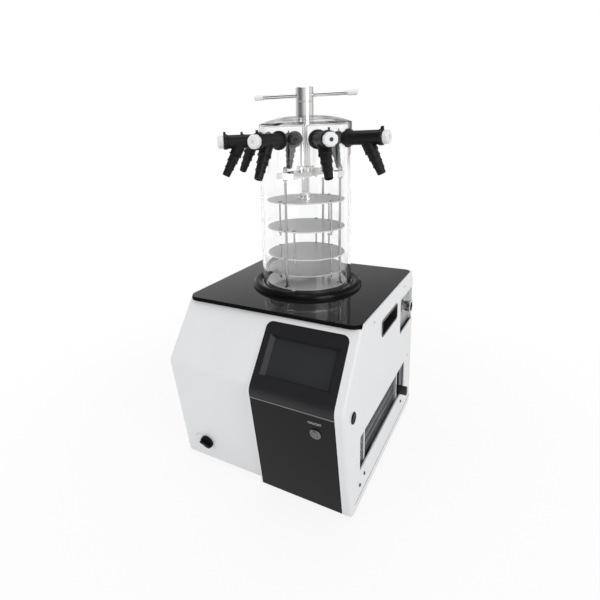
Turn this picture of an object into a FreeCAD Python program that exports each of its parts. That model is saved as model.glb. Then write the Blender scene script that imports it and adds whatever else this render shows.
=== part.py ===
import FreeCAD, Part
import math
import os
import re

import Sketcher
from FreeCAD import Placement, Rotation, Vector

# Benchtop freeze dryer with a stoppering press and an eight-valve manifold, in millimetres.
# +X is the operator's right, -Y is the front, +Z is up. The working frame has x = 0 on the case's centre
# line, y = 0 at the front edge of the top plate and z = 0 on the floor. datum_x and datum_y move the
# finished pieces so that the model's origin is the centre of its footprint.

SIZES = {
    # where the working frame's origin lies in the model's frame
    "datum_x": -7.7, "datum_y": -188.83,
    # case
    "case_wide": 456.6, "case_high": 418, "case_back": 475, "foot_high": 12, "sheet": 3, "pan_sheet": 2,
    "pan_lip": 20, "rim_drop": 0.5, "plate_in": 3.5, "plate_deep": 455, "plate_thick": 10,
    "plate_front_round": 25, "plate_back_round": 18, "seam": 5, "fit_gap": 0.3, "left_lip_y": 10,
    "left_fold_y": -87, "left_fold_down": 138, "left_low_y": -33, "right_lip_y": 8, "right_fold_y": -99,
    "right_fold_down": 147, "right_low_y": -49, "fold_round": 25, "corner_round": 9, "bevel_down": 30,
    "step_flange": 19, "foot_wide": 38, "foot_in": 45, "rear_slots": 300, "rear_slot_z": 70,
    "rear_slot": 90, "rear_slot_high": 4, "rear_slot_pitch": 12,
    # fascia, screen, button
    "fascia_left": 8, "fascia_in": 22.3, "fascia_top": 16, "fascia_past_fold": 32, "fascia_round": 16,
    "fascia_skin": 3.2, "trim_under_fold": 20.5, "trim_high": 3, "screen_in": 26, "screen_wide": 148,
    "screen_high": 85, "screen_down": 51, "screen_deep": 10, "flare_side": 10,
    "flare_top": 5, "flare_low": 2, "screen_wall": 2.4, "screen_box_deep": 26,
    "screen_box_over": 6, "button_in": 45, "button_under_trim": 46.9, "bezel_wide": 25,
    "bezel_proud": 2.6, "bezel_barrel": 22, "button_wide": 18.5, "button_proud": 2.2,
    "button_slack": 0.1,
    # drain valve and its knob on the left front
    "drain_in": 72.4, "drain_z": 65, "drain_stem": 8, "drain_barrel": 16, "drain_deep": 34,
    "knob_boss": 34, "knob_boss_high": 6, "wing_long": 31, "wing_thick": 9, "wing_high": 15,
    "wing_turn": -20, "hose_wide": 12, "hose_wall": 2, "hose_bend": 20,
    # sides
    "grip_y": 152, "grip_down": 83, "grip_long": 137, "grip_high": 37.5, "grip_deep": 30,
    "grip_wall": 2, "grip_round": 7, "cup_over": 0.2, "grip_rim": 2.5, "grip_rim_proud": 1, "vent_y": 0,
    "vent_long": 391, "vent_z": 92, "vent_high": 84, "vent_round": 5, "notch_y": 329, "notch_down": 149,
    "notch_high": 99, "notch_round": 5, "recess_in": 14, "recess_lap": 8, "recess_sheet": 1.5,
    "socket_y": -48.6, "socket_z": 251, "socket_wide": 25, "socket_barrel": 20, "socket_deep": 14,
    "socket_proud": 2.5, "port_y": 404, "port_down": 91, "port_bore": 25, "port_wall": 1.6,
    "port_flange": 40, "port_flange_thick": 6, "port_over": 11, "port_aside": 40, "port_bend": 45,
    "inlet_y": 356, "inlet_z": 104, "inlet_wide": 14, "inlet_high": 23, "inlet_over": 17.6,
    "inlet_bore": 8, "inlet_deep": 14, "inlet_round": 3, "inlet_plate": 2, "inlet_lap": 6,
    "screw_head": 8, "screw_head_high": 2.2, "screw_shank": 4, "screw_long": 8, "screw_a_y": 87,
    "screw_a_down": 22, "screw_b_y": 367, "screw_b_down": 23, "screw_c_y": 426, "screw_c_z": 179,
    "screw_d_y": 357, "screw_d_z": 68, "screw_e_y": 31, "screw_e_z": 65.5, "screw_f_y": 0,
    "screw_f_z": 57.5,
    # refrigeration
    "core_y": 52, "core_long": 272, "core_in": 34.3, "core_deep": 22, "core_z": 34, "core_high": 156,
    "core_plate": 4, "shroud_deep": 20, "shroud_sheet": 1.5, "fan_y": 188, "fan_z": 112,
    "fan_wide": 146, "fan_hub": 44, "fan_shaft": 8, "motor_wide": 70, "motor_long": 52,
    "blade_thick": 2, "can_x": -62, "can_y": 215, "can_wide": 150, "can_high": 150, "can_lift": 14,
    "can_foot": 176, "can_foot_thick": 4, "can_block": 24, "can_block_in": 14, "pipe_wide": 9.5,
    "pipe_bend": 26, "hot_line_z": 112, "hot_line_end_z": 160, "cold_line_z": 90, "cold_line_up": 42,
    # cold trap and the chamber's seat
    "axis_y": 228.7, "trap_in": 18, "trap_wall": 4, "trap_deep": 210, "flange_over": 4,
    "flange_thick": 8, "jacket_proud": 8, "jacket_up": 22, "jacket_high": 152, "foam_thick": 24,
    "foam_under": 28, "skirt_wide": 24, "skirt_high": 13, "gasket_in_over": 1, "gasket_out_over": 1.5,
    "gasket_thick": 2, "cover_gap": 6, "cover_thick": 2.5, "cover_lift": 3, "pad_wide": 10,
    "drain_bore": 6,
    # chamber
    "tube_wide": 234, "tube_wall": 7, "tube_high": 408, "lid_thick": 8, "lid_rise": 20, "lid_seat": 4,
    # manifold valves
    "valve_count": 8, "valve_turn": -6.0, "valve_under": 38, "valve_plate": 45, "valve_plate_thick": 5,
    "valve_neck": 26, "valve_lip": 32, "valve_lip_thick": 5, "valve_barrel": 34, "valve_out": 91,
    "valve_end": 38, "valve_end_long": 9, "leg_root_out": 46, "leg_tip_out": 89, "leg_drop": 84,
    "leg_root": 30, "leg_mid": 26, "leg_tip": 20, "leg_bore": 12, "leg_bore_deep": 30, "knob_wide": 32,
    "knob_thick": 14, "knob_dimple": 10, "knob_flute": 5, "knob_stem": 12, "knob_stem_deep": 36,
    "knob_slack": 0.1, "valve_way_long": 60, "tab_thick": 3, "tab_high": 6, "tab_long": 6,
    # press
    "shaft_wide": 13, "gland_wide": 44, "gland_neck": 26, "hub_wide": 44, "hub_high": 34,
    "hub_socket": 9, "gland_high": 34, "nut_high": 11, "tee_wide": 10, "tee_long": 260,
    "tee_turn": 13.5, "tee_up": 15.4, "pushed_gap": 0.05, "cap_wide": 13, "cap_long": 23,
    "cap_cover": 17, "sleeve_wide": 26, "sleeve_low": 314, "sleeve_high": 56, "screw_wide": 22,
    "screw_top": 358, "run_gap": 0.1, "bridge_low": 287, "bridge_thick": 14, "bridge_bar": 50,
    "bridge_arm": 40, "bridge_boss": 45, "bridge_boss_high": 11, "bridge_over": 0.5,
    "coupling_wide": 30, "coupling_foot": 45, "coupling_foot_thick": 2.5,
    # rack
    "tray_gap": 9.5, "shelf_thick": 3, "shelf_a": 228.7, "shelf_b": 158.6, "shelf_c": 89.1,
    "shelf_d": 47.7, "rod_wide": 6, "rod_in": 3.5, "rack_turn": -5, "notch_wide": 8.4, "dome_wide": 11,
    "dome_high": 17, "dome_room": 9, "pin_wide": 4.4, "pin_in": 11.5, "pin_hole": 5.6, "pin_head": 9,
    "pin_head_high": 3.5, "pin_nut_high": 5, "pin_tail": 7, "pin_rise": 28, "pins_back": -16,
    "pins_fore": 11,
}

# What follows from the sizes above: whatever fits in, stands on or lines up with another piece.
FITS = {
    # case, from its width and height
    "plate_wide": "case_wide - 2 * plate_in",
    "bevel_y": "plate_deep",
    "bevel_z": "foot_high + case_high - bevel_down",
    "left_fold_z": "foot_high + case_high - left_fold_down",
    "right_fold_z": "foot_high + case_high - right_fold_down",
    "fascia_right": "case_wide / 2 - fascia_in",
    "trim_z": "right_fold_z - trim_under_fold",
    "screen_left": "fascia_left + screen_in",
    "button_x": "fascia_right - button_in",
    "button_z": "trim_z - button_under_trim",
    "drain_x": "drain_in - case_wide / 2",
    "grip_z": "foot_high + case_high - grip_down",
    "notch_z": "foot_high + case_high - notch_down",
    "recess_x": "case_wide / 2 - recess_in",
    "port_z": "foot_high + case_high - port_down",
    "port_out": "case_wide / 2 + port_over",
    "inlet_out": "case_wide / 2 + inlet_over",
    "core_x": "case_wide / 2 - core_in",
    # cold trap and seat, from the chamber's tube
    "tube_bore": "tube_wide - 2 * tube_wall",
    "trap_bore": "tube_bore - 2 * trap_in",
    "flange_wide": "tube_wide + 2 * flange_over",
    "foam_wide": "trap_bore + 2 * (trap_wall + jacket_proud + foam_thick)",
    "foam_low_z": "foot_high + case_high + flange_thick - trap_deep - trap_wall - foam_under",
    "seal_wide": "flange_wide + 2 * skirt_wide",
    "gasket_in": "tube_bore - 2 * gasket_in_over",
    "gasket_out": "tube_wide + 2 * gasket_out_over",
    "cover_wide": "tube_bore - 2 * cover_gap",
    # valves, heights above the top plate and distances from the chamber's axis
    "valve_z": "flange_thick + gasket_thick + tube_high - valve_under",
    "valve_reach": "tube_wide / 2 + valve_out",
    "leg_root_r": "tube_wide / 2 + leg_root_out",
    "leg_tip_r": "tube_wide / 2 + leg_tip_out",
    # rack, from the chamber's bore
    "shelf_wide": "tube_bore - 2 * tray_gap",
    "rod_ring": "shelf_wide - 2 * rod_in",
    "pin_ring": "shelf_wide - 2 * pin_in",
    "bridge_reach": "shelf_wide + 2 * bridge_over",
}

doc = FreeCAD.newDocument("freeze_dryer")
dim = doc.addObject("Spreadsheet::Sheet", "dim")
for row, (alias, size) in enumerate(SIZES.items(), start=1):
    dim.set(f"A{row}", alias)
    dim.set(f"B{row}", str(size))
    dim.setAlias(f"B{row}", alias)
doc.recompute()

ALONG_X = Rotation(Vector(0, 1, 0), 90)
ALONG_Y = Rotation(Vector(1, 0, 0), -90)
TO_LEFT = Rotation(Vector(0, 1, 0), -90)
INTO_SIDE = Rotation(Vector(0, 1, 0), Vector(0, 0, 1), Vector(1, 0, 0), "XYZ")
UP = Rotation()
FLOOR = ("0", "0", "0")
PAST = "2"  # how far a cutting tool runs past the face that it cuts

nodes = []
spots = {}


# ---------------------------------------------------------------- helpers

def cells(formula):
    """The same formula with each size's name written as its cell, and each fit's as the sizes it follows."""
    def cell(word):
        if word[0] in FITS:
            return "(" + cells(FITS[word[0]]) + ")"
        return "dim." + word[0] if word[0] in SIZES else word[0]

    return re.sub(r"[a-z_]\w*", cell, formula)


def value(formula):
    """What a formula comes to, as a plain number."""
    result = dim.evalExpression(cells(formula))
    return float(getattr(result, "Value", result))


def bind(item, **formulas):
    """Tie an object's properties to the sheet."""
    for name, formula in formulas.items():
        item.setExpression(name, cells(formula))


def put(item, spot, turn=UP):
    """Stand an object at a spot given as three formulas."""
    item.Placement = Placement(Vector(), turn)
    spots[item.Name] = spot
    for axis, formula in zip("xyz", spot):
        item.setExpression("Placement.Base." + axis, cells(formula))
    return item


def node(label, item):
    """Name a finished piece and move it from the working frame into the model's frame."""
    item.Label = label
    x, y, z = spots.get(item.Name, FLOOR)
    bind(item, **{"Placement.Base.x": f"{x} + datum_x", "Placement.Base.y": f"{y} + datum_y",
                  "Placement.Base.z": z})
    nodes.append(item)
    return item


def cylinder(name, wide, high, spot, turn=UP):
    item = doc.addObject("Part::Cylinder", name)
    bind(item, Radius=f"({wide}) / 2", Height=high)
    return put(item, spot, turn)


def cone(name, low_wide, high_wide, high, spot, turn=UP):
    item = doc.addObject("Part::Cone", name)
    bind(item, Radius1=f"({low_wide}) / 2", Radius2=f"({high_wide}) / 2", Height=high)
    return put(item, spot, turn)


def block(name, size, spot, turn=UP):
    item = doc.addObject("Part::Box", name)
    bind(item, Length=size[0], Width=size[1], Height=size[2])
    return put(item, spot, turn)


def fuse(name, *items):
    item = doc.addObject("Part::MultiFuse", name)
    item.Shapes = list(items)
    return item


def cut(name, base, *tools):
    item = doc.addObject("Part::Cut", name)
    item.Base = base
    item.Tool = tools[0] if len(tools) == 1 else fuse(name + "_tools", *tools)
    return item


def common(name, base, tool):
    item = doc.addObject("Part::Common", name)
    item.Base = base
    item.Tool = tool
    return item


def copies(name, item, places):
    """One piece repeated at several places, each copy a solid of its own."""
    doc.recompute()
    shapes = []
    for place in places:
        shape = item.Shape.copy()
        shape.Placement = place.multiply(shape.Placement)
        shapes.append(shape)
    result = doc.addObject("Part::Feature", name)
    result.Shape = Part.makeCompound(shapes)
    return result


def sketch_outline(body, plane, points, offset="0"):
    """A closed sketch of straight lines through points given as pairs of formulas."""
    sketch = body.newObject("Sketcher::SketchObject", body.Name + "_sketch")
    origin_plane = next(item for item in body.Origin.OriginFeatures if item.Role == plane)
    sketch.AttachmentSupport = [(origin_plane, "")]
    sketch.MapMode = "FlatFace"
    sketch.setExpression("AttachmentOffset.Base.z", cells(offset))
    corners = [Vector(value(across), value(up), 0) for across, up in points]
    count = len(points)
    for index in range(count):
        sketch.addGeometry(Part.LineSegment(corners[index], corners[(index + 1) % count]), False)
    for index in range(count):
        sketch.addConstraint(Sketcher.Constraint("Coincident", index, 2, (index + 1) % count, 1))
    for index, formulas in enumerate(points):
        for kind, size, formula in zip(("DistanceX", "DistanceY"), corners[index], formulas):
            number = sketch.addConstraint(Sketcher.Constraint(kind, -1, 1, index, 1, size))
            sketch.setExpression(f"Constraints[{number}]", cells(formula))
    return sketch


def turned(name, section, spot, turn=UP):
    """A turned piece: half its section, as (radius, height) formulas, spun about the upright axis."""
    body = doc.addObject("PartDesign::Body", name)
    sketch = sketch_outline(body, "XZ_Plane", section)
    spin = body.newObject("PartDesign::Revolution", name + "_spin")
    spin.Profile = sketch
    spin.ReferenceAxis = (sketch, ["V_Axis"])
    spin.Angle = 360
    return put(body, spot, turn)


def prism(name, plane, points, start, length, spot=FLOOR, turn=UP):
    """An outline in one of the origin planes, padded from `start` along that plane's normal."""
    body = doc.addObject("PartDesign::Body", name)
    sketch = sketch_outline(body, plane, points, start)
    pad = body.newObject("PartDesign::Pad", name + "_pad")
    pad.Profile = sketch
    bind(pad, Length=length)
    return put(body, spot, turn)


def soften(body, radius, pick):
    """Round the edges of a body that `pick` chooses."""
    doc.recompute()
    base = body.Tip
    edges = [f"Edge{index}" for index, edge in enumerate(base.Shape.Edges, start=1) if pick(edge)]
    fillet = body.newObject("PartDesign::Fillet", body.Name + "_round")
    fillet.Base = (base, edges)
    bind(fillet, Radius=radius)
    return body


def upright(edge):
    ends = [vertex.Point for vertex in edge.Vertexes]
    return len(ends) == 2 and abs(ends[0].x - ends[1].x) + abs(ends[0].y - ends[1].y) < 0.001


def slab(name, size, radius, spot, turn=UP):
    """A plate with its four upright corners rounded; its spot is its low corner."""
    wide, deep, high = size
    corners = [("0", "0"), (wide, "0"), (wide, deep), ("0", deep)]
    return soften(prism(name, "XY_Plane", corners, "0", high, spot, turn), radius, upright)


def pipe(name, route, wide, wall, bend):
    """A tube along straight runs joined by arcs of one radius."""
    points = [Vector(*(value(formula) for formula in spot)) for spot in route]
    edges = []
    start = points[0]
    for before, corner, after in zip(points, points[1:], points[2:]):
        inward = (before - corner).normalize()
        outward = (after - corner).normalize()
        half_turn = inward.getAngle(outward) / 2
        reach = value(bend) / math.tan(half_turn)
        entry = corner + inward * reach
        leave = corner + outward * reach
        middle_line = (inward + outward).normalize()
        centre = corner + middle_line * (value(bend) ** 2 + reach ** 2) ** 0.5
        middle = centre - middle_line * value(bend)
        edges.append(Part.LineSegment(start, entry).toShape())
        edges.append(Part.Arc(entry, middle, leave).toShape())
        start = leave
    edges.append(Part.LineSegment(start, points[-1]).toShape())
    spine = Part.Wire(edges)
    along = (points[1] - points[0]).normalize()
    outer = value(wide) / 2
    tube = spine.makePipeShell([Part.Wire(Part.makeCircle(outer, points[0], along))], True, False)
    if value(wall) > 0:
        bore = Part.Wire(Part.makeCircle(outer - value(wall), points[0], along))
        tube = tube.cut(spine.makePipeShell([bore], True, False))
    item = doc.addObject("Part::Feature", name)
    item.Shape = tube
    return item


# ---------------------------------------------------------------- case

UNDER = "(foot_high + case_high - plate_thick)"
TOP = "(foot_high + case_high)"
RIM = f"({TOP} - rim_drop)"
SIDE = "(case_wide / 2)"
INNER = f"({SIDE} - sheet)"
SEAT = f"({TOP} + flange_thick)"
POT_LOW = f"({SEAT} - trap_deep - trap_wall)"


def front_line(side, shift, top):
    """The front's outline from the foot over the fold to a height, moved back by `shift`."""
    lean = f"(({side}_lip_y - {side}_fold_y) / ({UNDER} - {side}_fold_z))"
    return [(f"{side}_low_y + {shift}", "foot_high"), (f"{side}_fold_y + {shift}", f"{side}_fold_z"),
            (f"{side}_lip_y + {lean} * ({top} - {UNDER}) + {shift}", top)]


def fold_edge(side, shift):
    """Picks the edge where a front bends, `shift` behind its outer face."""
    fold_y, fold_z = value(f"{side}_fold_y + {shift}"), value(f"{side}_fold_z")
    return lambda edge: all(abs(vertex.Y - fold_y) + abs(vertex.Z - fold_z) < 0.01
                            for vertex in edge.Vertexes)


def side_edge(x, top):
    """Picks the front and rear edges of a case side, apart from those along its top and bottom."""
    side_x, low_z, top_z = value(x), value("foot_high"), value(top)

    def pick(edge):
        ends = [vertex.Point for vertex in edge.Vertexes]
        level = abs(ends[0].z - ends[-1].z) < 0.01
        on_side = all(abs(end.x - side_x) < 0.01 for end in ends)
        return on_side and not (level and (abs(ends[0].z - low_z) < 0.01 or abs(ends[0].z - top_z) < 0.01))

    return pick


def case_solid(name, side, low_x, high_x, round_x):
    """The block that one half of the case encloses, its front fold and its outer corner rounded."""
    rear = [("bevel_y", RIM), ("case_back", "bevel_z"), ("case_back", "foot_high")]
    form = prism(name, "YZ_Plane", front_line(side, "0", RIM) + rear, low_x, f"{high_x} - ({low_x})")
    soften(form, "fold_round", fold_edge(side, "0"))
    return soften(form, "corner_round", side_edge(round_x, RIM))


def case_room(name, side, low_x, high_x, shift):
    """The space inside one half of the case, open to the rear, the top and the floor."""
    front = front_line(side, shift, RIM)
    low_y, top_y = front[0][0], front[-1][0]
    rear = [(top_y, f"{RIM} + 20"), ("case_back + 20", f"{RIM} + 20"), ("case_back + 20", "foot_high - 20"),
            (low_y, "foot_high - 20")]
    room = prism(name, "YZ_Plane", front + rear, low_x, f"{high_x} - ({low_x})")
    return soften(room, "fold_round - sheet", fold_edge(side, shift))


def lean_of(side, part):
    """Turn and spot of a front plane: local X runs right, local Y up the plane and local Z outward."""
    rise = f"({UNDER} - {side}_fold_z)" if part == "slope" else f"({side}_fold_z - foot_high)"
    run = f"({side}_lip_y - {side}_fold_y)" if part == "slope" else f"({side}_fold_y - {side}_low_y)"
    angle = math.degrees(math.atan2(value(run), value(rise)))
    return Rotation(Vector(1, 0, 0), 90 - angle)


SLOPE = lean_of("right", "slope")
RIGHT_FRONT = lean_of("right", "front")
LEFT_FRONT = lean_of("left", "front")
SLOPE_LONG = f"sqrt((right_lip_y - right_fold_y)^2 + ({UNDER} - right_fold_z)^2)"
SLOPE_SINE = f"((right_lip_y - right_fold_y) / {SLOPE_LONG})"


def on_slope(x, down, out):
    """A spot on the right front's upper slope: across, down the slope from its lip, and outward."""
    cosine = f"sqrt(1 - {SLOPE_SINE}^2)"
    return (x, f"right_lip_y - ({down}) * {SLOPE_SINE} - ({out}) * {cosine}",
            f"{UNDER} - ({down}) * {cosine} + ({out}) * {SLOPE_SINE}")


def on_front(side, x, z, out):
    """A spot on a lower front plane: across, at a height, and outward."""
    lean = f"(({side}_fold_y - {side}_low_y) / ({side}_fold_z - foot_high))"
    cosine = f"(1 / sqrt(1 + {lean}^2))"
    return (x, f"{side}_low_y + {lean} * ({z} - foot_high) - ({out}) * {cosine}",
            f"{z} + ({out}) * {cosine} * {lean}")


def base_pan():
    wide = f"{INNER} - fit_gap"
    front, deep = "left_low_y + sheet + 2 * fit_gap", "case_back - pan_sheet - fit_gap"
    outer = block("pan_outer", (f"2 * ({wide})", f"{deep} - ({front})", "pan_lip"),
                  (f"-({wide})", front, "foot_high"))
    room = block("pan_room", (f"2 * ({wide}) - 2 * pan_sheet", f"{deep} - ({front}) - 2 * pan_sheet",
                              "pan_lip"),
                 (f"-({wide}) + pan_sheet", f"{front} + pan_sheet", "foot_high + pan_sheet"))
    return cut("pan", outer, room)


def foot():
    half = "foot_wide / 2"
    section = [("3", "0"), (f"{half} - 4", "0"), (half, "foot_high"), ("3", "foot_high")]
    return turned("foot", section, FLOOR)


def feet():
    across, front, back = f"{SIDE} - foot_in", "left_low_y + foot_in", "case_back - foot_in"
    places = [Placement(Vector(value(f"{sign}({across})"), value(depth), 0), UP)
              for sign in ("", "-") for depth in (front, back)]
    return copies("foot_set", foot(), places)


def side_window(name, y, z, size_y, size_z, radius, high):
    """A cutting slab with rounded corners through the right side wall."""
    return slab(name, (size_y, size_z, high), radius, (f"{INNER} - 2 * sheet", y, z), INTO_SIDE)


SIDE_SCREWS = [("screw_a_y", f"{TOP} - screw_a_down"), ("screw_b_y", f"{TOP} - screw_b_down"),
               ("screw_c_y", "screw_c_z"), ("screw_d_y", "screw_d_z"), ("screw_e_y", "screw_e_z"),
               ("screw_f_y", "screw_f_z")]


def screw_places():
    """The side screws, on the right wall and mirrored on the left."""
    right = [Placement(Vector(value(SIDE), value(y), value(z)), ALONG_X) for y, z in SIDE_SCREWS]
    left = [Placement(Vector(-value(SIDE), value(y), value(z)), TO_LEFT) for y, z in SIDE_SCREWS]
    return right + left


def left_shell():
    end = "seam - fit_gap"
    outer = case_solid("left_outer", "left", f"-{SIDE}", end, f"-{SIDE}")
    room = case_room("left_room", "left", f"-{INNER}", f"{end} + {PAST}", "sheet")
    grip = side_window("left_grip", "grip_y", "grip_z", "grip_long", "grip_high", "grip_round", "sheet * 8")
    grip_left = copies("left_grip_hole", grip, [Placement(Vector(-value("case_wide"), 0, 0), UP)])
    valve_hole = cylinder("left_valve_hole", "drain_barrel + 2 * fit_gap", "30",
                          on_front("left", "drain_x", "drain_z", "-20"), LEFT_FRONT)
    holes = copies("left_screw_holes", screw_hole("left_hole"), screw_places()[len(SIDE_SCREWS):])
    return cut("left_case", outer, room, plate_room("left"), grip_left, valve_hole, holes)


def plate_room(name):
    """The recess in the top of the case that the glass plate drops into."""
    return block(name + "_plate_room", (f"2 * {INNER}", "case_back", "plate_thick * 3"),
                 (f"-{INNER}", "0", UNDER))


def screw_hole(name):
    return cylinder(name, "screw_shank + 0.4", "sheet * 4", ("0", "0", "-sheet * 2"))


def fascia_opening(name, grow):
    """The place that the fascia fills: the front of the right half below its top strip."""
    left = f"fascia_left - ({grow})"
    wide = f"fascia_right - fascia_left + 2 * ({grow})"
    down = f"fascia_top - ({grow})"
    tall = f"({SLOPE_LONG} - ({down}) + fascia_past_fold)"
    upper = slab(name + "_upper", (wide, tall, "60"), "fascia_round",
                 on_slope(left, f"{down} + {tall}", "-30"), SLOPE)
    lower = block(name + "_lower", (wide, "150", f"right_fold_z - foot_high + {PAST}"),
                  (left, "right_fold_y - 20", f"foot_high - {PAST}"))
    return fuse(name, upper, lower)


def right_shell():
    outer = case_solid("right_outer", "right", "seam", SIDE, SIDE)
    room = case_room("right_room", "right", "seam + sheet", INNER, "sheet")
    behind = case_room("right_behind", "right", f"seam - {PAST}", "seam + sheet * 2", "step_flange")
    return cut("right_case", outer, room, behind, plate_room("right"), fascia_opening("fascia_hole", "0"),
               side_window("right_grip", "grip_y", "grip_z", "grip_long", "grip_high", "grip_round", "20"),
               side_window("right_vent", "vent_y", "vent_z", "vent_long", "vent_high", "vent_round", "20"),
               side_window("right_notch", "notch_y", "notch_z", "case_back - notch_y + 20", "notch_high",
                           "notch_round", "20"),
               cylinder("right_socket_hole", "socket_barrel + 2 * fit_gap", "20",
                        (f"{INNER} - 2 * sheet", "socket_y", "socket_z"), ALONG_X),
               copies("right_screw_holes", screw_hole("right_hole"), screw_places()[:len(SIDE_SCREWS)]))


def rear_panel():
    lean = "((case_back - bevel_y) / (bevel_z - (foot_high + case_high - rim_drop)))"
    top = f"({UNDER} + 4)"
    top_y = f"(case_back + {lean} * ({top} - bevel_z))"
    outline = [("case_back", "foot_high"), ("case_back", "bevel_z"), (top_y, top),
               (f"{top_y} - pan_sheet", top), ("case_back - pan_sheet", "bevel_z"),
               ("case_back - pan_sheet", "foot_high")]
    sheet = prism("rear_sheet", "YZ_Plane", outline, f"-{INNER} + fit_gap", f"2 * {INNER} - 2 * fit_gap")
    columns = (("a", "-rear_slots / 2"), ("b", "-rear_slot / 2"), ("c", "rear_slots / 2 - rear_slot"))
    slots = [block(f"rear_slot_{side}_{row}", ("rear_slot", "40", "rear_slot_high"),
                   (x, "case_back - 20", f"rear_slot_z + {row} * rear_slot_pitch"))
             for side, x in columns for row in range(8)]
    return cut("rear_case", sheet, *slots)


def top_plate():
    half = "(plate_wide / 2)"
    plate = prism("plate", "XY_Plane", [(f"-{half}", "0"), (half, "0"), (half, "plate_deep"),
                                        (f"-{half}", "plate_deep")], UNDER, "plate_thick")
    middle = value("plate_deep / 2")
    soften(plate, "plate_front_round", lambda edge: upright(edge) and edge.Vertexes[0].Y < middle)
    doc.recompute()
    soften(plate, "plate_back_round", lambda edge: upright(edge) and edge.Vertexes[0].Y > middle
                 and edge.Length > 1 and abs(abs(edge.Vertexes[0].X) - value(half)) < 0.01)
    hole = cylinder("plate_hole", "trap_bore + 2 * trap_wall + 6", "60", ("0", "axis_y", f"{UNDER} - 20"))
    return cut("glass_plate", plate, hole)


# ---------------------------------------------------------------- fascia, screen and button

def fascia_band(name, low_x, high_x, near, far):
    """A layer of the right front between two depths behind the case's outer face."""
    outer = front_line("right", near, UNDER)
    inner = front_line("right", far, UNDER)
    band = prism(name, "YZ_Plane", outer + inner[::-1], low_x, f"{high_x} - ({low_x})")
    soften(band, "fold_round", fold_edge("right", near))
    return soften(band, "fold_round - fascia_skin", fold_edge("right", far))


def screen_slab(name, over, deep_from, deep_to, radius):
    """A rounded block on the screen's place, `over` larger all round, between two depths."""
    return slab(name, (f"screen_wide + 2 * ({over})", f"screen_high + 2 * ({over})",
                       f"{deep_to} - ({deep_from})"),
                radius, on_slope(f"screen_left - ({over})", f"screen_down + screen_high + ({over})",
                                 f"-({deep_to})"), SLOPE)


def fascia_skin_piece(name):
    band = fascia_band(name + "_band", "fascia_left - 5", "fascia_right + 5", "fit_gap",
                       "fit_gap + fascia_skin")
    return common(name + "_skin", band, fascia_opening(name + "_place", "-fit_gap"))


def level_block(name, low_z, high_z):
    return block(name, ("case_wide", "300", f"{high_z} - ({low_z})"), ("0", "right_fold_y - 50", low_z))


def screen_funnel():
    """The flared mouth of the screen's window, from the glass out past the fascia's face."""
    funnel = doc.addObject("Part::Wedge", "screen_funnel")
    past = f"({PAST} / screen_deep)"
    bind(funnel, Ymin="0", Xmin="0", Xmax="screen_wide", Zmin="0", Zmax="screen_high",
         Ymax=f"screen_deep + {PAST}", X2min=f"-flare_side * (1 + {past})",
         X2max=f"screen_wide + flare_side * (1 + {past})", Z2min=f"-flare_top * (1 + {past})",
         Z2max=f"screen_high + flare_low * (1 + {past})")
    facing_out = SLOPE.multiply(Rotation(Vector(1, 0, 0), 90))
    return put(funnel, on_slope("screen_left", "screen_down", "-screen_deep"), facing_out)


def upper_fascia():
    skin = common("upper_half", fascia_skin_piece("upper"),
                  level_block("upper_level", "trim_z + trim_high / 2 + fit_gap", "foot_high + case_high"))
    box = screen_slab("screen_box", "flare_side + screen_wall", "1", "screen_deep + 2", "screen_wall + 1")
    window = screen_slab("screen_window", "0", "screen_deep - 1", "screen_deep + 5", "2")
    return cut("upper_panel", fuse("upper_frame", skin, box), screen_funnel(), window)


def lower_fascia():
    skin = common("lower_half", fascia_skin_piece("lower"),
                  level_block("lower_level", "foot_high", "trim_z - trim_high / 2 - fit_gap"))
    hole = cylinder("bezel_hole", "bezel_barrel + 2 * fit_gap", "40",
                    on_front("right", "button_x", "button_z", "-20"), RIGHT_FRONT)
    return cut("lower_panel", skin, hole)


def trim_strip():
    band = fascia_band("trim_band", "fascia_left + fit_gap", "fascia_right - fit_gap", "-0.2",
                       "fit_gap + fascia_skin")
    return common("trim", band, level_block("trim_level", "trim_z - trim_high / 2", "trim_z + trim_high / 2"))


def touch_screen():
    """The operating module: its glass fills the fascia's window and its housing stands behind."""
    glass = screen_slab("screen_glass", "-fit_gap", "screen_deep", "screen_deep + 3", "2")
    housing = screen_slab("screen_housing", "screen_box_over", "screen_deep + 2 + fit_gap",
                          "screen_deep + screen_box_deep", "3")
    return fuse("screen", glass, housing)


def button_bezel():
    half, barrel, bore = "bezel_wide / 2", "bezel_barrel / 2", "(button_wide / 2 + button_slack)"
    section = [(bore, "-22"), (barrel, "-22"), (barrel, "0"), (half, "0"), (half, "bezel_proud - 1"),
               (f"{half} - 1.2", "bezel_proud"), (bore, "bezel_proud")]
    return turned("bezel", section, on_front("right", "button_x", "button_z", "0"), RIGHT_FRONT)


def power_button():
    half = "button_wide / 2"
    section = [("0", "-20"), (half, "-20"), (half, "button_proud + bezel_proud - 2.2"),
               (f"{half} - 0.8", "button_proud + bezel_proud - 1.4"),
               ("0", "button_proud + bezel_proud - 1.4")]
    return turned("button", section, on_front("right", "button_x", "button_z", "0"), RIGHT_FRONT)


# ---------------------------------------------------------------- drain

def drain_valve():
    """Cock body behind the left front, with its collar outside and the stem that the knob turns on."""
    barrel, stem = "drain_barrel / 2", "drain_stem / 2"
    section = [("0", "-drain_deep"), (f"{barrel} + 4", "-drain_deep"),
               (f"{barrel} + 4", "-sheet - 2 * fit_gap"),
               (barrel, "-sheet - 2 * fit_gap"), (barrel, "0.3"), (f"{barrel} + 3", "0.3"),
               (f"{barrel} + 3", "2"),
               (stem, "2"), (stem, "16"), ("0", "16")]
    return turned("cock", section, on_front("left", "drain_x", "drain_z", "0"), LEFT_FRONT)


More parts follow.
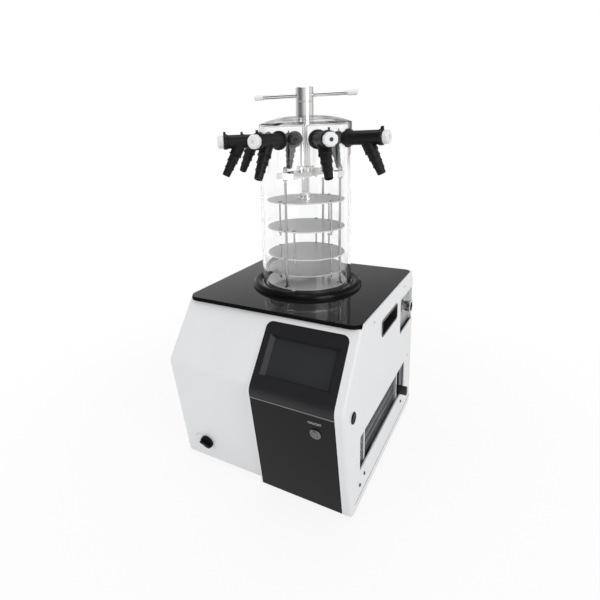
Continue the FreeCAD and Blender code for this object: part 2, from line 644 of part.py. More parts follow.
def drain_knob():
    """Wing knob: a round boss with a bar across it, bored for the stem."""
    turn = LEFT_FRONT.multiply(Rotation(Vector(0, 0, 1), value("wing_turn")))
    boss = cylinder("wing_boss", "knob_boss", "knob_boss_high", ("0", "0", "2 + fit_gap"))
    wing = slab("wing_bar", ("wing_long", "wing_thick", "wing_high - 2 - fit_gap"), "wing_thick / 2 - 0.5",
                ("-wing_long / 2", "-wing_thick / 2", "2 + fit_gap"))
    bore = cylinder("wing_bore", "drain_stem + 2 * button_slack", "16", ("0", "0", "1"))
    knob = cut("wing_knob", fuse("wing", boss, wing), bore)
    centre = Vector(*(value(formula) for formula in on_front("left", "drain_x", "drain_z", "0")))
    return copies("wing_placed", knob, [Placement(centre, turn)])


def drain_hose():
    """Hose from the cold trap's bottom forward and down to the back of the cock, then out of the pan."""
    route = [("0", "axis_y", f"{POT_LOW} - fit_gap"), ("0", "axis_y", "foam_low_z - 8.5"),
             ("-150", "100", "foam_low_z - 8.5"),
             on_front("left", "drain_x", "drain_z", "-drain_deep - 100"),
             on_front("left", "drain_x", "drain_z", "-drain_deep - fit_gap")]
    return pipe("hose", route, "hose_wide", "hose_wall", "hose_bend")


# ---------------------------------------------------------------- side fittings

def side_socket():
    section = [("0", "-socket_deep"), ("socket_barrel / 2", "-socket_deep"), ("socket_barrel / 2", "0.2"),
               ("socket_wide / 2", "0.2"), ("socket_wide / 2", "socket_proud - 0.8"),
               ("socket_wide / 2 - 0.8", "socket_proud"), ("0", "socket_proud")]
    return turned("socket", section, (SIDE, "socket_y", "socket_z"), ALONG_X)


def grip_cups():
    """The two moulded hand grips, each a flanged cup let into a side wall."""
    long, high, foot = "grip_long - 2 * fit_gap", "grip_high - 2 * fit_gap", f"{SIDE} - grip_deep + cup_over"
    cup = slab("cup_outer", (long, high, "grip_deep"), "grip_round",
               (foot, "grip_y + fit_gap", "grip_z + fit_gap"), INTO_SIDE)
    rim = slab("cup_rim", ("grip_long + 2 * grip_rim", "grip_high + 2 * grip_rim", "grip_rim_proud"),
               "grip_round + grip_rim", (f"{SIDE} + cup_over", "grip_y - grip_rim", "grip_z - grip_rim"),
               INTO_SIDE)
    room = slab("cup_room", (f"{long} - 2 * grip_wall", f"{high} - 2 * grip_wall", f"grip_deep + 4 * {PAST}"),
                "grip_round - grip_wall",
                (f"{foot} + grip_wall", "grip_y + fit_gap + grip_wall", "grip_z + fit_gap + grip_wall"),
                INTO_SIDE)
    right = cut("cup", fuse("cup_form", cup, rim), room)
    doc.recompute()
    item = doc.addObject("Part::Feature", "cup_pair")
    item.Shape = Part.makeCompound([right.Shape, right.Shape.mirror(Vector(), Vector(1, 0, 0))])
    return item


def port_recess():
    """A shallow folded bracket behind the notch that carries the vacuum port, open at the rear."""
    low_y, low_z = "notch_y - recess_lap", "notch_z - recess_lap"
    deep, high = f"case_back - pan_sheet - 1 - ({low_y})", "notch_high + 2 * recess_lap"
    outer = block("recess_outer", (f"{INNER} - fit_gap - recess_x", deep, high), ("recess_x", low_y, low_z))
    room = block("recess_room", ("case_wide", deep, f"{high} - 2 * recess_sheet"),
                 ("recess_x + recess_sheet", f"{low_y} + recess_sheet", f"{low_z} + recess_sheet"))
    hole = cylinder("recess_hole", "port_bore + 2 * port_wall + 0.4", "20",
                    ("recess_x - 10", "port_y", "port_z"), ALONG_X)
    return cut("recess", outer, room, hole)


def port_weld(into):
    """Where the vacuum tube meets the pot's wall, `into` millimetres inside it."""
    return ("port_aside", f"axis_y + sqrt((trap_bore / 2 + trap_wall)^2 - port_aside^2) - ({into})", "port_z")


def vacuum_port():
    """The vacuum tube: from the cold trap's wall to the flanged port at the side, welded as one piece."""
    outer = "port_bore + 2 * port_wall"
    corner = ("port_aside", "port_y", "port_z")
    tube = pipe("port_tube", [("port_out - 4", "port_y", "port_z"), corner, port_weld("-2")],
                outer, "0", "port_bend")
    bore = pipe("port_bore_run", [("port_out + 4", "port_y", "port_z"), corner, port_weld("4")],
                "port_bore", "0", "port_bend")
    flange = turned("port_rim", [("6", "0"), ("port_bore / 2 + 4", "0"), ("port_flange / 2", "3.5"),
                                 ("port_flange / 2", "port_flange_thick"), ("6", "port_flange_thick")],
                    ("port_out - port_flange_thick", "port_y", "port_z"), ALONG_X)
    collar = cylinder("port_collar", f"{outer} + 8", "3",
                      ("recess_x + recess_sheet + fit_gap", "port_y", "port_z"), ALONG_X)
    return cut("vacuum_tube", fuse("vacuum_form", tube, flange, collar), bore)


def mains_inlet():
    """The lead's inlet: a moulded gland in the vent's lower rear corner, with nothing plugged in."""
    body = slab("inlet_body", ("inlet_wide", "inlet_high", f"inlet_out - {SIDE} + inlet_deep"), "inlet_round",
                (f"{SIDE} - inlet_deep", "inlet_y - inlet_wide / 2", "inlet_z - inlet_high / 2"), INTO_SIDE)
    bore = cylinder("inlet_hole", "inlet_bore", "30", ("inlet_out - 20", "inlet_y", "inlet_z"), ALONG_X)
    plate = block("inlet_plate", ("inlet_plate", "inlet_wide + 20", "vent_high + 2 * inlet_lap"),
                  (f"{INNER} - fit_gap - inlet_plate", "inlet_y - inlet_wide / 2 - 2", "vent_z - inlet_lap"))
    return cut("inlet", fuse("inlet_form", body, plate), bore)


def case_screw():
    section = [("0", "-screw_long"), ("screw_shank / 2", "-screw_long"), ("screw_shank / 2", "0"),
               ("screw_head / 2", "0"), ("screw_head / 2", "screw_head_high - 0.8"),
               ("screw_head / 2 - 1.4", "screw_head_high"), ("1.4", "screw_head_high"), ("1.4", "0.8"),
               ("0", "0.8")]
    return turned("side_screw", section, FLOOR)


# ---------------------------------------------------------------- refrigeration

def condenser():
    """Fin block between two end plates, with the fan's shroud and motor arms fixed to its rear face."""
    core = block("core", ("core_deep", "core_long", "core_high"), ("core_x", "core_y", "core_z"))
    ends = [block(f"core_end_{name}", ("core_deep + 6", "core_plate", "core_high + 4"),
                  ("core_x", y, "core_z - 2"))
            for name, y in (("front", "core_y - core_plate"), ("rear", "core_y + core_long"))]
    legs = [block(f"core_foot_{name}", ("core_deep", "core_plate",
                                        "core_z - foot_high - pan_sheet - fit_gap"),
                  ("core_x", y, "foot_high + pan_sheet + fit_gap"))
            for name, y in (("front", "core_y - core_plate"), ("rear", "core_y + core_long"))]
    shroud = cut("shroud_box",
                 block("shroud_outer", ("shroud_deep", "core_long", "core_high"),
                       ("core_x - shroud_deep", "core_y", "core_z")),
                 block("shroud_room",
                       ("shroud_deep", "core_long - 2 * shroud_sheet", "core_high - 2 * shroud_sheet"),
                       ("core_x - shroud_deep + shroud_sheet", "core_y + shroud_sheet",
                        "core_z + shroud_sheet")),
                 cylinder("shroud_mouth", "fan_wide + 4", "10",
                          ("core_x - shroud_deep - 4", "fan_y", "fan_z"),
                          ALONG_X))
    return fuse("condenser_form", core, *ends, *legs, shroud)


def fan_motor():
    """Motor on its own post from the base pan, its shaft towards the condenser."""
    end_x = "core_x - shroud_deep - 22"
    can = cylinder("motor_can", "motor_wide", "motor_long", (f"{end_x} - motor_long", "fan_y", "fan_z"),
                   ALONG_X)
    shaft = cylinder("motor_shaft", "fan_shaft", "32", (f"{end_x} - 4", "fan_y", "fan_z"), ALONG_X)
    post = block("motor_post", ("motor_long - 20", "30", "fan_z - foot_high - pan_sheet"),
                 (f"{end_x} - motor_long + 10", "fan_y - 15", "foot_high + pan_sheet"))
    return fuse("motor", can, shaft, post)


def fan_blades():
    """Five pitched blades on a hub that is pressed on the motor's shaft."""
    hub_x = "core_x - shroud_deep - 18"
    hub = cylinder("fan_hub_form", "fan_hub", "20", (hub_x, "fan_y", "fan_z"), ALONG_X)
    bore = cylinder("fan_bore", "fan_shaft + 0.1", "40", (f"{hub_x} - 5", "fan_y", "fan_z"), ALONG_X)
    blades = []
    doc.recompute()
    centre = Vector(value(f"{hub_x} + 10"), value("fan_y"), value("fan_z"))
    for index in range(5):
        blade = Part.makeBox(value("blade_thick"), 46, value("fan_wide / 2 - fan_hub / 2 + 3"))
        blade.translate(Vector(-value("blade_thick") / 2, -23, value("fan_hub / 2 - 3")))
        blade.rotate(Vector(), Vector(0, 0, 1), 24)
        blade.rotate(Vector(), Vector(1, 0, 0), index * 72)
        blade.translate(centre)
        blades.append(blade)
    rim = Part.makeCylinder(value("fan_wide / 2"), 60, centre - Vector(30, 0, 0), Vector(1, 0, 0))
    vanes = doc.addObject("Part::Feature", "fan_vanes")
    vanes.Shape = blades[0].fuse(blades[1:]).common(rim)
    return cut("fan", fuse("fan_form", hub, vanes), bore)


def compressor():
    """Sealed can with a seam band on a foot plate that stands on four rubber blocks."""
    half = "can_wide / 2"
    low = "foot_high + pan_sheet + can_lift"
    seam, top = f"({low} + can_high / 2)", f"{low} + can_high"
    can = turned("can", [("0", low), (f"{half} - 22", low), (half, f"{low} + 26"), (half, f"{seam} - 5"),
                         (f"{half} + 4", f"{seam} - 5"), (f"{half} + 4", f"{seam} + 1"),
                         (half, f"{seam} + 1"),
                         (half, f"{top} - 30"), (f"{half} - 26", f"{top} - 4"), ("0", top)],
                 ("can_x", "can_y", "0"))
    plate = block("can_plate", ("can_foot", "can_foot", "can_foot_thick"),
                  ("can_x - can_foot / 2", "can_y - can_foot / 2", low))
    out = "(can_foot / 2 - can_block_in)"
    blocks = [cylinder(f"can_block_{index}", "can_block", "can_lift",
                       (f"can_x + {x} * {out}", f"can_y + {y} * {out}", "foot_high + pan_sheet"))
              for index, (x, y) in enumerate(((1, 1), (1, -1), (-1, 1), (-1, -1)))]
    return fuse("compressor_form", can, plate, *blocks)


def refrigerant_pipes():
    """The hot-gas line from the compressor to the condenser and the return line from the trap's jacket."""
    over, low, high = "(core_x + core_deep / 2)", "hot_line_z", "hot_line_end_z"
    hot = pipe("hot_line", [("can_x + can_wide / 2 + 0.1", "can_y", low), ("60", "can_y", low),
                            ("60", "80", low), ("60", "20", high), (over, "20", high),
                            (over, "core_y - core_plate - fit_gap", high)],
               "pipe_wide", "0", "pipe_bend * 0.6")
    start, foam_z = "cold_line_z", "foam_low_z + cold_line_up"
    cold = pipe("cold_line", [("can_x - can_wide / 2 - 0.1", "can_y", start), ("can_x - 110", "can_y", start),
                              ("can_x - 110", "can_y", foam_z),
                              ("-foam_wide / 2 - fit_gap", "can_y", foam_z)],
                "pipe_wide", "0", "pipe_bend * 0.6")
    item = doc.addObject("Part::Feature", "lines")
    item.Shape = Part.makeCompound([hot.Shape, cold.Shape])
    return item


# ---------------------------------------------------------------- cold trap and seat of the chamber

AXIS = ("0", "axis_y", "0")
POT = "(trap_bore / 2 + trap_wall)"


def above(height):
    """A height above the top plate, as a height above the floor."""
    return f"({TOP} + {height})"


def cold_trap():
    """Drawn steel pot with its seat flange, its drain spigot and the refrigerant jacket welded round it."""
    low, bore = f"({SEAT} - trap_deep)", "trap_bore / 2"
    base, taper = f"({POT_LOW} + jacket_up)", "5"
    jacket = [(POT, base), (f"{POT} + jacket_proud", f"{base} + {taper}"),
              (f"{POT} + jacket_proud", f"{base} + jacket_high - {taper}"), (POT, f"{base} + jacket_high")]
    spigot = "hose_wide / 2 - hose_wall - 0.1"
    section = [("drain_bore / 2", f"{POT_LOW} - 12"), (spigot, f"{POT_LOW} - 12"), (spigot, POT_LOW),
               (POT, POT_LOW)] + jacket
    section += [(POT, TOP), ("flange_wide / 2", TOP), ("flange_wide / 2", f"{SEAT} - 1.5"),
                ("flange_wide / 2 - 1.5", SEAT), (bore, SEAT), (bore, f"{low} + 4"), (f"{bore} - 6", low),
                ("drain_bore / 2", low)]
    pot = turned("pot", section, AXIS)
    mouth = cylinder("pot_mouth", "port_bore + 2 * port_wall + 2 * run_gap", "40", port_weld("20"), ALONG_Y)
    return cut("pot_open", pot, mouth)


def trap_insulation():
    """Foam moulded round the pot, with its vacuum tube and drain passages."""
    room, low = f"{POT} + jacket_proud + fit_gap", "foam_low_z"
    section = [("hose_wide", low), ("foam_wide / 2", low), ("foam_wide / 2", f"{UNDER} - fit_gap"),
               (room, f"{UNDER} - fit_gap"), (room, f"{POT_LOW} - fit_gap"),
               ("hose_wide", f"{POT_LOW} - fit_gap")]
    foam = turned("foam", section, AXIS)
    passage = cylinder("foam_passage", "port_bore + 2 * port_wall + 2", "foam_wide / 2",
                       ("port_aside", "axis_y + foam_wide / 4", "port_z"), ALONG_Y)
    return cut("foam_open", foam, passage)


def seal_ring():
    """Moulded skirt round the flange, domed over its outer edge."""
    half, inner = "seal_wide / 2", "(flange_wide / 2 + fit_gap)"
    section = [(inner, TOP), (half, TOP), (half, f"{TOP} + 3"), (f"{half} - 2.5", f"{TOP} + 8"),
               (f"{half} - 8", f"{TOP} + skirt_high - 0.6"), (f"{half} - 13", f"{TOP} + skirt_high"),
               (f"{inner} + 3", f"{TOP} + skirt_high - 2"), (inner, f"{TOP} + flange_thick + 0.5")]
    return turned("skirt", section, AXIS)


def chamber_gasket():
    section = [("gasket_in / 2", SEAT), ("gasket_out / 2", SEAT),
               ("gasket_out / 2", f"{SEAT} + gasket_thick"),
               ("gasket_in / 2", f"{SEAT} + gasket_thick")]
    return turned("gasket", section, AXIS)


def trap_cover():
    """Polished disc that closes the pot on three pads and carries the rack."""
    disc = cylinder("cover_disc", "cover_wide", "cover_thick", ("0", "axis_y", f"{SEAT} + cover_lift"))
    pads = []
    for index, angle in enumerate((35, 155, 275)):
        ring = "(trap_bore / 2 + cover_wide / 2) / 2"
        pads.append(cylinder(f"cover_pad_{index}", "pad_wide", "cover_lift",
                             (f"{ring} * cos({angle})", f"axis_y + {ring} * sin({angle})", SEAT)))
    return fuse("cover", disc, *pads)


# ---------------------------------------------------------------- chamber, lid and valves

TUBE_LOW = f"({SEAT} + gasket_thick)"
TUBE_TOP = f"({TUBE_LOW} + tube_high)"
LID_TOP = f"({TUBE_TOP} + lid_rise)"


def facing(angle):
    """Turns a piece that was built along +X to a machine angle, counted from the front to the right."""
    return Placement(Vector(0, value("axis_y"), 0), Rotation(Vector(0, 0, 1), angle - 90))


def valve_angles():
    count = int(value("valve_count"))
    return [value("valve_turn") + 360 / count * index for index in range(count)]


def chamber_tube():
    outer, inner = "tube_wide / 2", "(tube_wide / 2 - tube_wall)"
    tube = turned("clear_tube", [(inner, TUBE_LOW), (outer, TUBE_LOW), (outer, TUBE_TOP),
                                 (inner, TUBE_TOP)], AXIS)
    hole = cylinder("tube_hole", "valve_neck + 2 * fit_gap", "60",
                    ("tube_wide / 2 - 30", "0", above("valve_z")),
                    ALONG_X)
    return cut("tube_drilled", tube, copies("tube_holes", hole, [facing(angle) for angle in valve_angles()]))


def chamber_lid():
    """Clear domed cap, stepped underneath to centre itself in the tube, with a flat round the gland."""
    outer, step, boss = "tube_wide / 2", "(tube_wide / 2 - tube_wall - fit_gap)", "(gland_wide / 2 + 4)"
    bore = "(gland_neck / 2 + fit_gap)"
    section = [(bore, f"{LID_TOP} - lid_thick"), (boss, f"{LID_TOP} - lid_thick")]
    for share in (0.25, 0.5, 0.75):
        section.append((f"{boss} + {share} * ({step} - 6 - {boss})",
                        f"{LID_TOP} - lid_thick - {share}^2 * (lid_rise - lid_thick + lid_seat)"))
    section += [(f"{step} - 6", f"{TUBE_TOP} - lid_seat"), (step, f"{TUBE_TOP} - lid_seat"), (step, TUBE_TOP),
                (outer, TUBE_TOP), (outer, f"{TUBE_TOP} + 2")]
    for share in (0.85, 0.7, 0.5, 0.25):
        section.append((f"{boss} + {share} * ({outer} - {boss})",
                        f"{LID_TOP} - {share}^2 * (lid_rise - 2.5)"))
    section += [(boss, LID_TOP), (bore, LID_TOP)]
    return turned("lid", section, AXIS)


def valve_profile(plate_r, inner_r):
    """Half section of a valve's lip, groove, round plate and barrel, outward from the chamber's axis."""
    groove, lip, barrel = "valve_neck / 2", "valve_lip / 2", "valve_barrel / 2"
    plate_end, end = f"{plate_r} + valve_plate_thick", "valve_reach - valve_end_long"
    return [("0", inner_r), (f"{groove} + 0.5", inner_r), (lip, f"{inner_r} + 3"),
            (lip, f"{inner_r} + valve_lip_thick"), (groove, f"{inner_r} + valve_lip_thick"),
            (groove, plate_r),
            ("valve_plate / 2", plate_r), ("valve_plate / 2", plate_end),
            (f"{barrel} + 1", f"{plate_end} + 1.5"),
            (barrel, f"{plate_end} + 4"), (barrel, f"{end} - 2"), ("valve_end / 2", end),
            ("valve_end / 2", "valve_reach - 1.5"), ("valve_end / 2 - 1.5", "valve_reach"),
            ("0", "valve_reach")]


def leg_profile(long):
    """Half section of a valve's stepped leg, from the barrel's centre to its tip."""
    root, mid, tip = "leg_root / 2", "leg_mid / 2", "leg_tip / 2"
    return [("0", "0"), (root, "0"), (root, "34"), (f"{root} + 1.2", "35"), (f"{root} + 1.2", "38"),
            (mid, "40"), (mid, "52"), (f"{mid} + 1", "53"), (f"{mid} + 1", "56"), (f"{tip} + 1.6", "58"),
            (f"{tip} + 1.2", "70"), (f"{tip} + 2.2", "71"), (f"{tip} + 2.2", "74"), (f"{tip} + 0.6", "75.5"),
            (tip, f"{long} - 2"), (f"{tip} - 1.5", long), ("0", long)]


def valve_body():
    """One moulded rubber valve, built along +X: lip and groove in the tube's hole, barrel, leg and tab."""
    level = above("valve_z")
    plate_r = "(tube_wide / 2 + fit_gap)"
    inner_r = "(sqrt((tube_bore / 2)^2 - (valve_lip / 2)^2) - fit_gap - valve_lip_thick)"
    lathe = turned("valve_lathe", valve_profile(plate_r, inner_r), ("0", "0", level), ALONG_X)

    turn = Rotation(Vector(0, 1, 0), math.degrees(math.atan2(value("leg_tip_r - leg_root_r"),
                                                             -value("leg_drop"))))
    long = "sqrt((leg_tip_r - leg_root_r)^2 + leg_drop^2)"
    root = ("leg_root_r", "0", level)
    leg = turned("valve_leg", leg_profile(long), root, turn)
    tab = block("valve_tab", ("tab_long", "tab_thick", "valve_end / 2 + tab_high"),
                ("valve_reach - tab_long", "-tab_thick / 2", level))

    stem_bore = cylinder("valve_bore", "knob_stem + 2 * knob_slack", f"knob_stem_deep + {PAST}",
                         ("valve_reach - knob_stem_deep", "0", level), ALONG_X)
    way = cylinder("valve_way", "leg_bore", "valve_way_long", ("tube_wide / 2 - 20", "0", level), ALONG_X)
    share = f"leg_bore_deep / {long}"
    bore_foot = (f"leg_tip_r - {share} * (leg_tip_r - leg_root_r)", "0",
                 f"{level} - leg_drop + {share} * leg_drop")
    leg_hole = cylinder("leg_hole", "leg_bore", f"leg_bore_deep + 2 * {PAST}", bore_foot, turn)
    narrow = cylinder("leg_way", "leg_bore - 5", f"{long} - 6", root, turn)
    return cut("valve", fuse("valve_form", lathe, leg, tab), stem_bore, way,
               fuse("leg_ways", leg_hole, narrow))


def valve_knob():
    """One round knob with the stem that turns in the valve's barrel, built along +X."""
    half, stem, face = "knob_wide / 2", "knob_stem / 2", "(valve_reach + fit_gap)"
    stem_end, front = "valve_reach - knob_stem_deep + 4", f"{face} + knob_thick"
    section = [("0", stem_end), (stem, stem_end), (stem, face), (f"{half} - 2", face), (half, f"{face} + 2"),
               (half, f"{front} - 3"), (f"{half} - 3", front), ("knob_dimple / 2", front),
               ("knob_dimple / 2", f"{front} - 1.5"), ("0", f"{front} - 1.5")]
    knob = turned("knob", section, ("0", "0", above("valve_z")), ALONG_X)
    ring = "(knob_wide / 2 + 1)"
    flutes = []
    for index in range(8):
        angle = index * 45
        spot = (face, f"{ring} * cos({angle})", f"{above('valve_z')} + {ring} * sin({angle})")
        flutes.append(cylinder(f"knob_flute_{index}", "knob_flute", "knob_thick * 2", spot, ALONG_X))
    return cut("knob_fluted", knob, *flutes)


# ---------------------------------------------------------------- press

HUB_LOW = f"({LID_TOP} + gland_high + fit_gap)"
CAP_ROOM = "0.1"


def gland():
    """Sealed guide of the press shaft: a head on the lid and a neck through it."""
    half, neck, bore = "gland_wide / 2", "gland_neck / 2", "(shaft_wide / 2 + run_gap)"
    low = f"({LID_TOP} - lid_thick - nut_high - 4)"
    section = [(bore, low), (neck, low), (neck, LID_TOP), (half, LID_TOP),
               (half, f"{LID_TOP} + gland_high - 1"),
               (f"{half} - 1", f"{LID_TOP} + gland_high"), (bore, f"{LID_TOP} + gland_high")]
    return turned("guide", section, AXIS)


def gland_nut():
    half, bore, low = "gland_wide / 2", "(gland_neck / 2 + pushed_gap)", f"({LID_TOP} - lid_thick - nut_high)"
    high = f"({LID_TOP} - lid_thick)"
    return turned("guide_nut", [(bore, low), (f"{half} - 1", low), (half, f"{low} + 1"), (half, high),
                                (bore, high)],
                  AXIS)


def tee_bar():
    """Cross bar of the handle, pushed through the hub."""
    long = "(tee_long - 2 * (cap_long - cap_cover))"
    turn = Rotation(Vector(0, 0, 1), value("tee_turn")).multiply(ALONG_X)
    start = (f"-{long} / 2 * cos(tee_turn)", f"axis_y - {long} / 2 * sin(tee_turn)", f"{HUB_LOW} + tee_up")
    return cylinder("bar", "tee_wide", long, start, turn)


def bar_caps():
    """The two end caps of the handle bar, each a blind sleeve over the bar's end."""
    half, bore, end = "cap_wide / 2", "(tee_wide / 2 + pushed_gap)", "tee_long / 2"
    floor = f"{end} - cap_long + cap_cover + {CAP_ROOM}"
    cap = turned("cap", [(bore, f"{end} - cap_long"), (half, f"{end} - cap_long"), (half, f"{end} - 1.5"),
                         (f"{half} - 1.5", end), ("0", end), ("0", floor), (bore, floor)],
                 ("0", "0", f"{HUB_LOW} + tee_up"), ALONG_X)
    centre = Vector(0, value("axis_y"), 0)
    return copies("cap_pair", cap, [Placement(centre, Rotation(Vector(0, 0, 1),
                                                               value("tee_turn") + half_turn))
                                    for half_turn in (0, 180)])


def handle_hub():
    """Round hub pinned on the press shaft, cross-drilled for the bar."""
    half, bore, top = "hub_wide / 2", "(shaft_wide / 2 + pushed_gap)", f"({HUB_LOW} + hub_high)"
    body = turned("hub", [(bore, HUB_LOW), (f"{half} - 1", HUB_LOW), (half, f"{HUB_LOW} + 1"),
                          (half, f"{top} - 1"),
                          (f"{half} - 1", top), ("0", top), ("0", f"{HUB_LOW} + hub_socket"),
                          (bore, f"{HUB_LOW} + hub_socket")], AXIS)
    turn = Rotation(Vector(0, 0, 1), value("tee_turn")).multiply(ALONG_X)
    start = ("-hub_wide * cos(tee_turn)", "axis_y - hub_wide * sin(tee_turn)", f"{HUB_LOW} + tee_up")
    hole = cylinder("hub_hole", "tee_wide + 2 * pushed_gap", "2 * hub_wide", start, turn)
    return cut("hub_drilled", body, hole)


def press_shaft():
    """Shaft from the hub down through the lid, with the driving sleeve welded near its lower end."""
    shaft, sleeve, bore = "shaft_wide / 2", "sleeve_wide / 2", "(screw_wide / 2 + run_gap)"
    low, sleeve_low, top = above("(sleeve_low + 2)"), above("sleeve_low"), f"({HUB_LOW} + hub_socket - 0.2)"
    sleeve_top, roof = above("(sleeve_low + sleeve_high)"), above("(sleeve_low + sleeve_high - 8)")
    return turned("shaft", [("0", low), (shaft, low), (shaft, roof), (bore, roof), (bore, sleeve_low),
                            (sleeve, sleeve_low), (sleeve, f"{sleeve_top} - 1"),
                            (f"{sleeve} - 1", sleeve_top),
                            (shaft, sleeve_top), (shaft, top), ("0", top)], AXIS)


def press_screw():
    """Threaded spindle, bored at the top for the shaft to drive it as it travels."""
    half, bore = "screw_wide / 2", "(shaft_wide / 2 + run_gap)"
    low, top, floor = above("(shelf_a + 13.5)"), above("screw_top"), above("(sleeve_low - 6)")
    tip = "(coupling_wide / 2 - 9)"
    return turned("spindle", [("0", f"{low} - 6"), (tip, f"{low} - 6"), (tip, low), (half, low), (half, top),
                              (bore, top), (bore, floor), ("0", floor)], AXIS)


RACK_TURNS = (0, 90, 180)  # the three tie rods, from the front round to the back


def rack_angles():
    return [value("rack_turn") + turn for turn in RACK_TURNS]


def bridge():
    """Cross piece on the tie rods: a bar front to back, an arm to the right rod and the screw's boss."""
    low, reach, ring = above("bridge_low"), "bridge_reach / 2", "rod_ring / 2"
    under = f"{low} - {PAST}"
    through = f"bridge_thick + bridge_boss_high + 2 * {PAST}"
    bar = block("bridge_bar_form", ("bridge_reach", "bridge_bar", "bridge_thick"),
                (f"-{reach}", "-bridge_bar / 2", low))
    arm = block("bridge_arm_form", ("bridge_arm", reach, "bridge_thick"), ("-bridge_arm / 2", "0", low))
    boss = cylinder("bridge_boss_form", "bridge_boss", "bridge_boss_high + bridge_thick", ("0", "0", low))
    round_end = cylinder("bridge_round", "bridge_reach", through, ("0", "0", under))
    thread = cylinder("bridge_thread", "screw_wide + 2 * run_gap", through, ("0", "0", under))
    rods = [cylinder(f"bridge_rod_{name}", "rod_wide + 2 * pushed_gap", through, (x, y, under))
            for name, x, y in (("front", ring, "0"), ("right", "0", ring), ("back", f"-{ring}", "0"))]
    blank = common("bridge_blank", fuse("bridge_cross", bar, arm, boss), round_end)
    return copies("bridge_placed", cut("bridge_form", blank, thread, *rods), [facing(value("rack_turn"))])


def press_coupling():
    """Foot of the spindle: a bearing cup on a thin flange that is riveted to the press plate."""
    low, half, foot_half = above("shelf_a"), "coupling_wide / 2", "coupling_foot / 2"
    bore, throat = "(coupling_wide / 2 - 9 + run_gap)", above("(shelf_a + 13.3)")
    return turned("cup_bearing", [("0", low), (foot_half, low), (foot_half, f"{low} + coupling_foot_thick"),
                                  (half, f"{low} + coupling_foot_thick"), (half, throat), (bore, throat),
                                  (bore, f"{low} + 7"), ("0", f"{low} + 7")], AXIS)


# ---------------------------------------------------------------- rack

# The levels of the trays from the top down, and which of the two sets of hanger pins pass through each.
PIN_OFFSETS = {"shelf_a": ("pins_back",), "shelf_b": ("pins_back", "pins_fore"),
               "shelf_c": ("pins_fore", "pins_back"), "shelf_d": ("pins_back",)}


def shelf(name, level):
    """Round tray with an edge notch at each tie rod and a hole for each hanger pin of its two levels."""
    low = above(f"({level} - shelf_thick)")
    under, through = f"{low} - {PAST}", f"shelf_thick + 2 * {PAST}"
    disc = cylinder(name + "_disc", "shelf_wide", "shelf_thick", ("0", "0", low))
    seat = cylinder(f"{name}_seat", "notch_wide", through, ("rod_ring / 2 + 1", "0", under))
    mouth = block(f"{name}_mouth", ("notch_wide", "notch_wide", through),
                  ("rod_ring / 2 + 1", "-notch_wide / 2", under))
    notches = copies(name + "_rods", fuse(name + "_notch", seat, mouth),
                     [Placement(Vector(), Rotation(Vector(0, 0, 1), turn)) for turn in RACK_TURNS])
    hole = cylinder(name + "_hole", "pin_hole", through, ("pin_ring / 2", "0", under))
    turns = [value(offset) + turn for offset in PIN_OFFSETS[level] for turn in RACK_TURNS]
    holes = copies(name + "_pins", hole, [Placement(Vector(),
                                                    Rotation(Vector(0, 0, 1), turn)) for turn in turns])
    return copies(name + "_placed", cut(name + "_form", disc, notches, holes), [facing(value("rack_turn"))])


def hanger_pins(name, upper, lower, offset, rise):
    """Three headed pins fixed in a lower shelf by nuts, on which the upper shelf slides."""
    pin, low = "pin_wide / 2", above(f"({lower} - shelf_thick)")
    hole = "pin_hole / 2 - 0.05"
    head = above(f"({upper} + {rise})")
    nut, collar = f"{low} - pin_nut_high", f"{low} + shelf_thick"
    section = [("0", f"{nut} - pin_tail"), (pin, f"{nut} - pin_tail"), (pin, nut), ("pin_head / 2", nut),
               ("pin_head / 2", low), (hole, low), (hole, collar), ("pin_head / 2 - 1", collar),
               ("pin_head / 2 - 1", f"{collar} + 3"), (pin, f"{collar} + 3"), (pin, head),
               ("pin_head / 2", head), ("pin_head / 2", f"{head} + pin_head_high - 1"),
               ("pin_head / 2 - 1", f"{head} + pin_head_high"), ("0", f"{head} + pin_head_high")]
    item = turned(name + "_one", section, ("pin_ring / 2", "0", "0"))
    return copies(name, item, [facing(angle + value(offset)) for angle in rack_angles()])


def tie_rods():
    """Three rods from the trap cover to the bridge, each with a locating shoulder under the bridge."""
    rod, foot_top, low = "rod_wide / 2", f"({SEAT} + cover_lift + cover_thick)", above("bridge_low")
    section = [("0", foot_top), (f"{rod} + 3", foot_top), (f"{rod} + 3", f"{foot_top} + 4"),
               (rod, f"{foot_top} + 4"),
               (rod, f"{low} - 4"), (f"{rod} + 2.5", f"{low} - 4"), (f"{rod} + 2.5", low), (rod, low),
               (rod, f"{low} + bridge_thick + dome_room - 1"), ("0", f"{low} + bridge_thick + dome_room - 1")]
    item = turned("rod", section, ("rod_ring / 2", "0", "0"))
    return copies("rods", item, [facing(angle) for angle in rack_angles()])


def dome_nuts():
    half, bore, low = "dome_wide / 2", "rod_wide / 2 + pushed_gap", above("(bridge_low + bridge_thick)")
    room, top = f"{low} + dome_room", f"{low} + dome_high"
    section = [(bore, low), (half, low), (half, f"{top} - 7"), (f"{half} - 1", f"{top} - 3.5"),
               (f"{half} - 3", f"{top} - 1"), ("0", top), ("0", room), (bore, room)]
    item = turned("acorn", section, ("rod_ring / 2", "0", "0"))
    return copies("acorns", item, [facing(angle) for angle in rack_angles()])


# ---------------------------------------------------------------- assembly

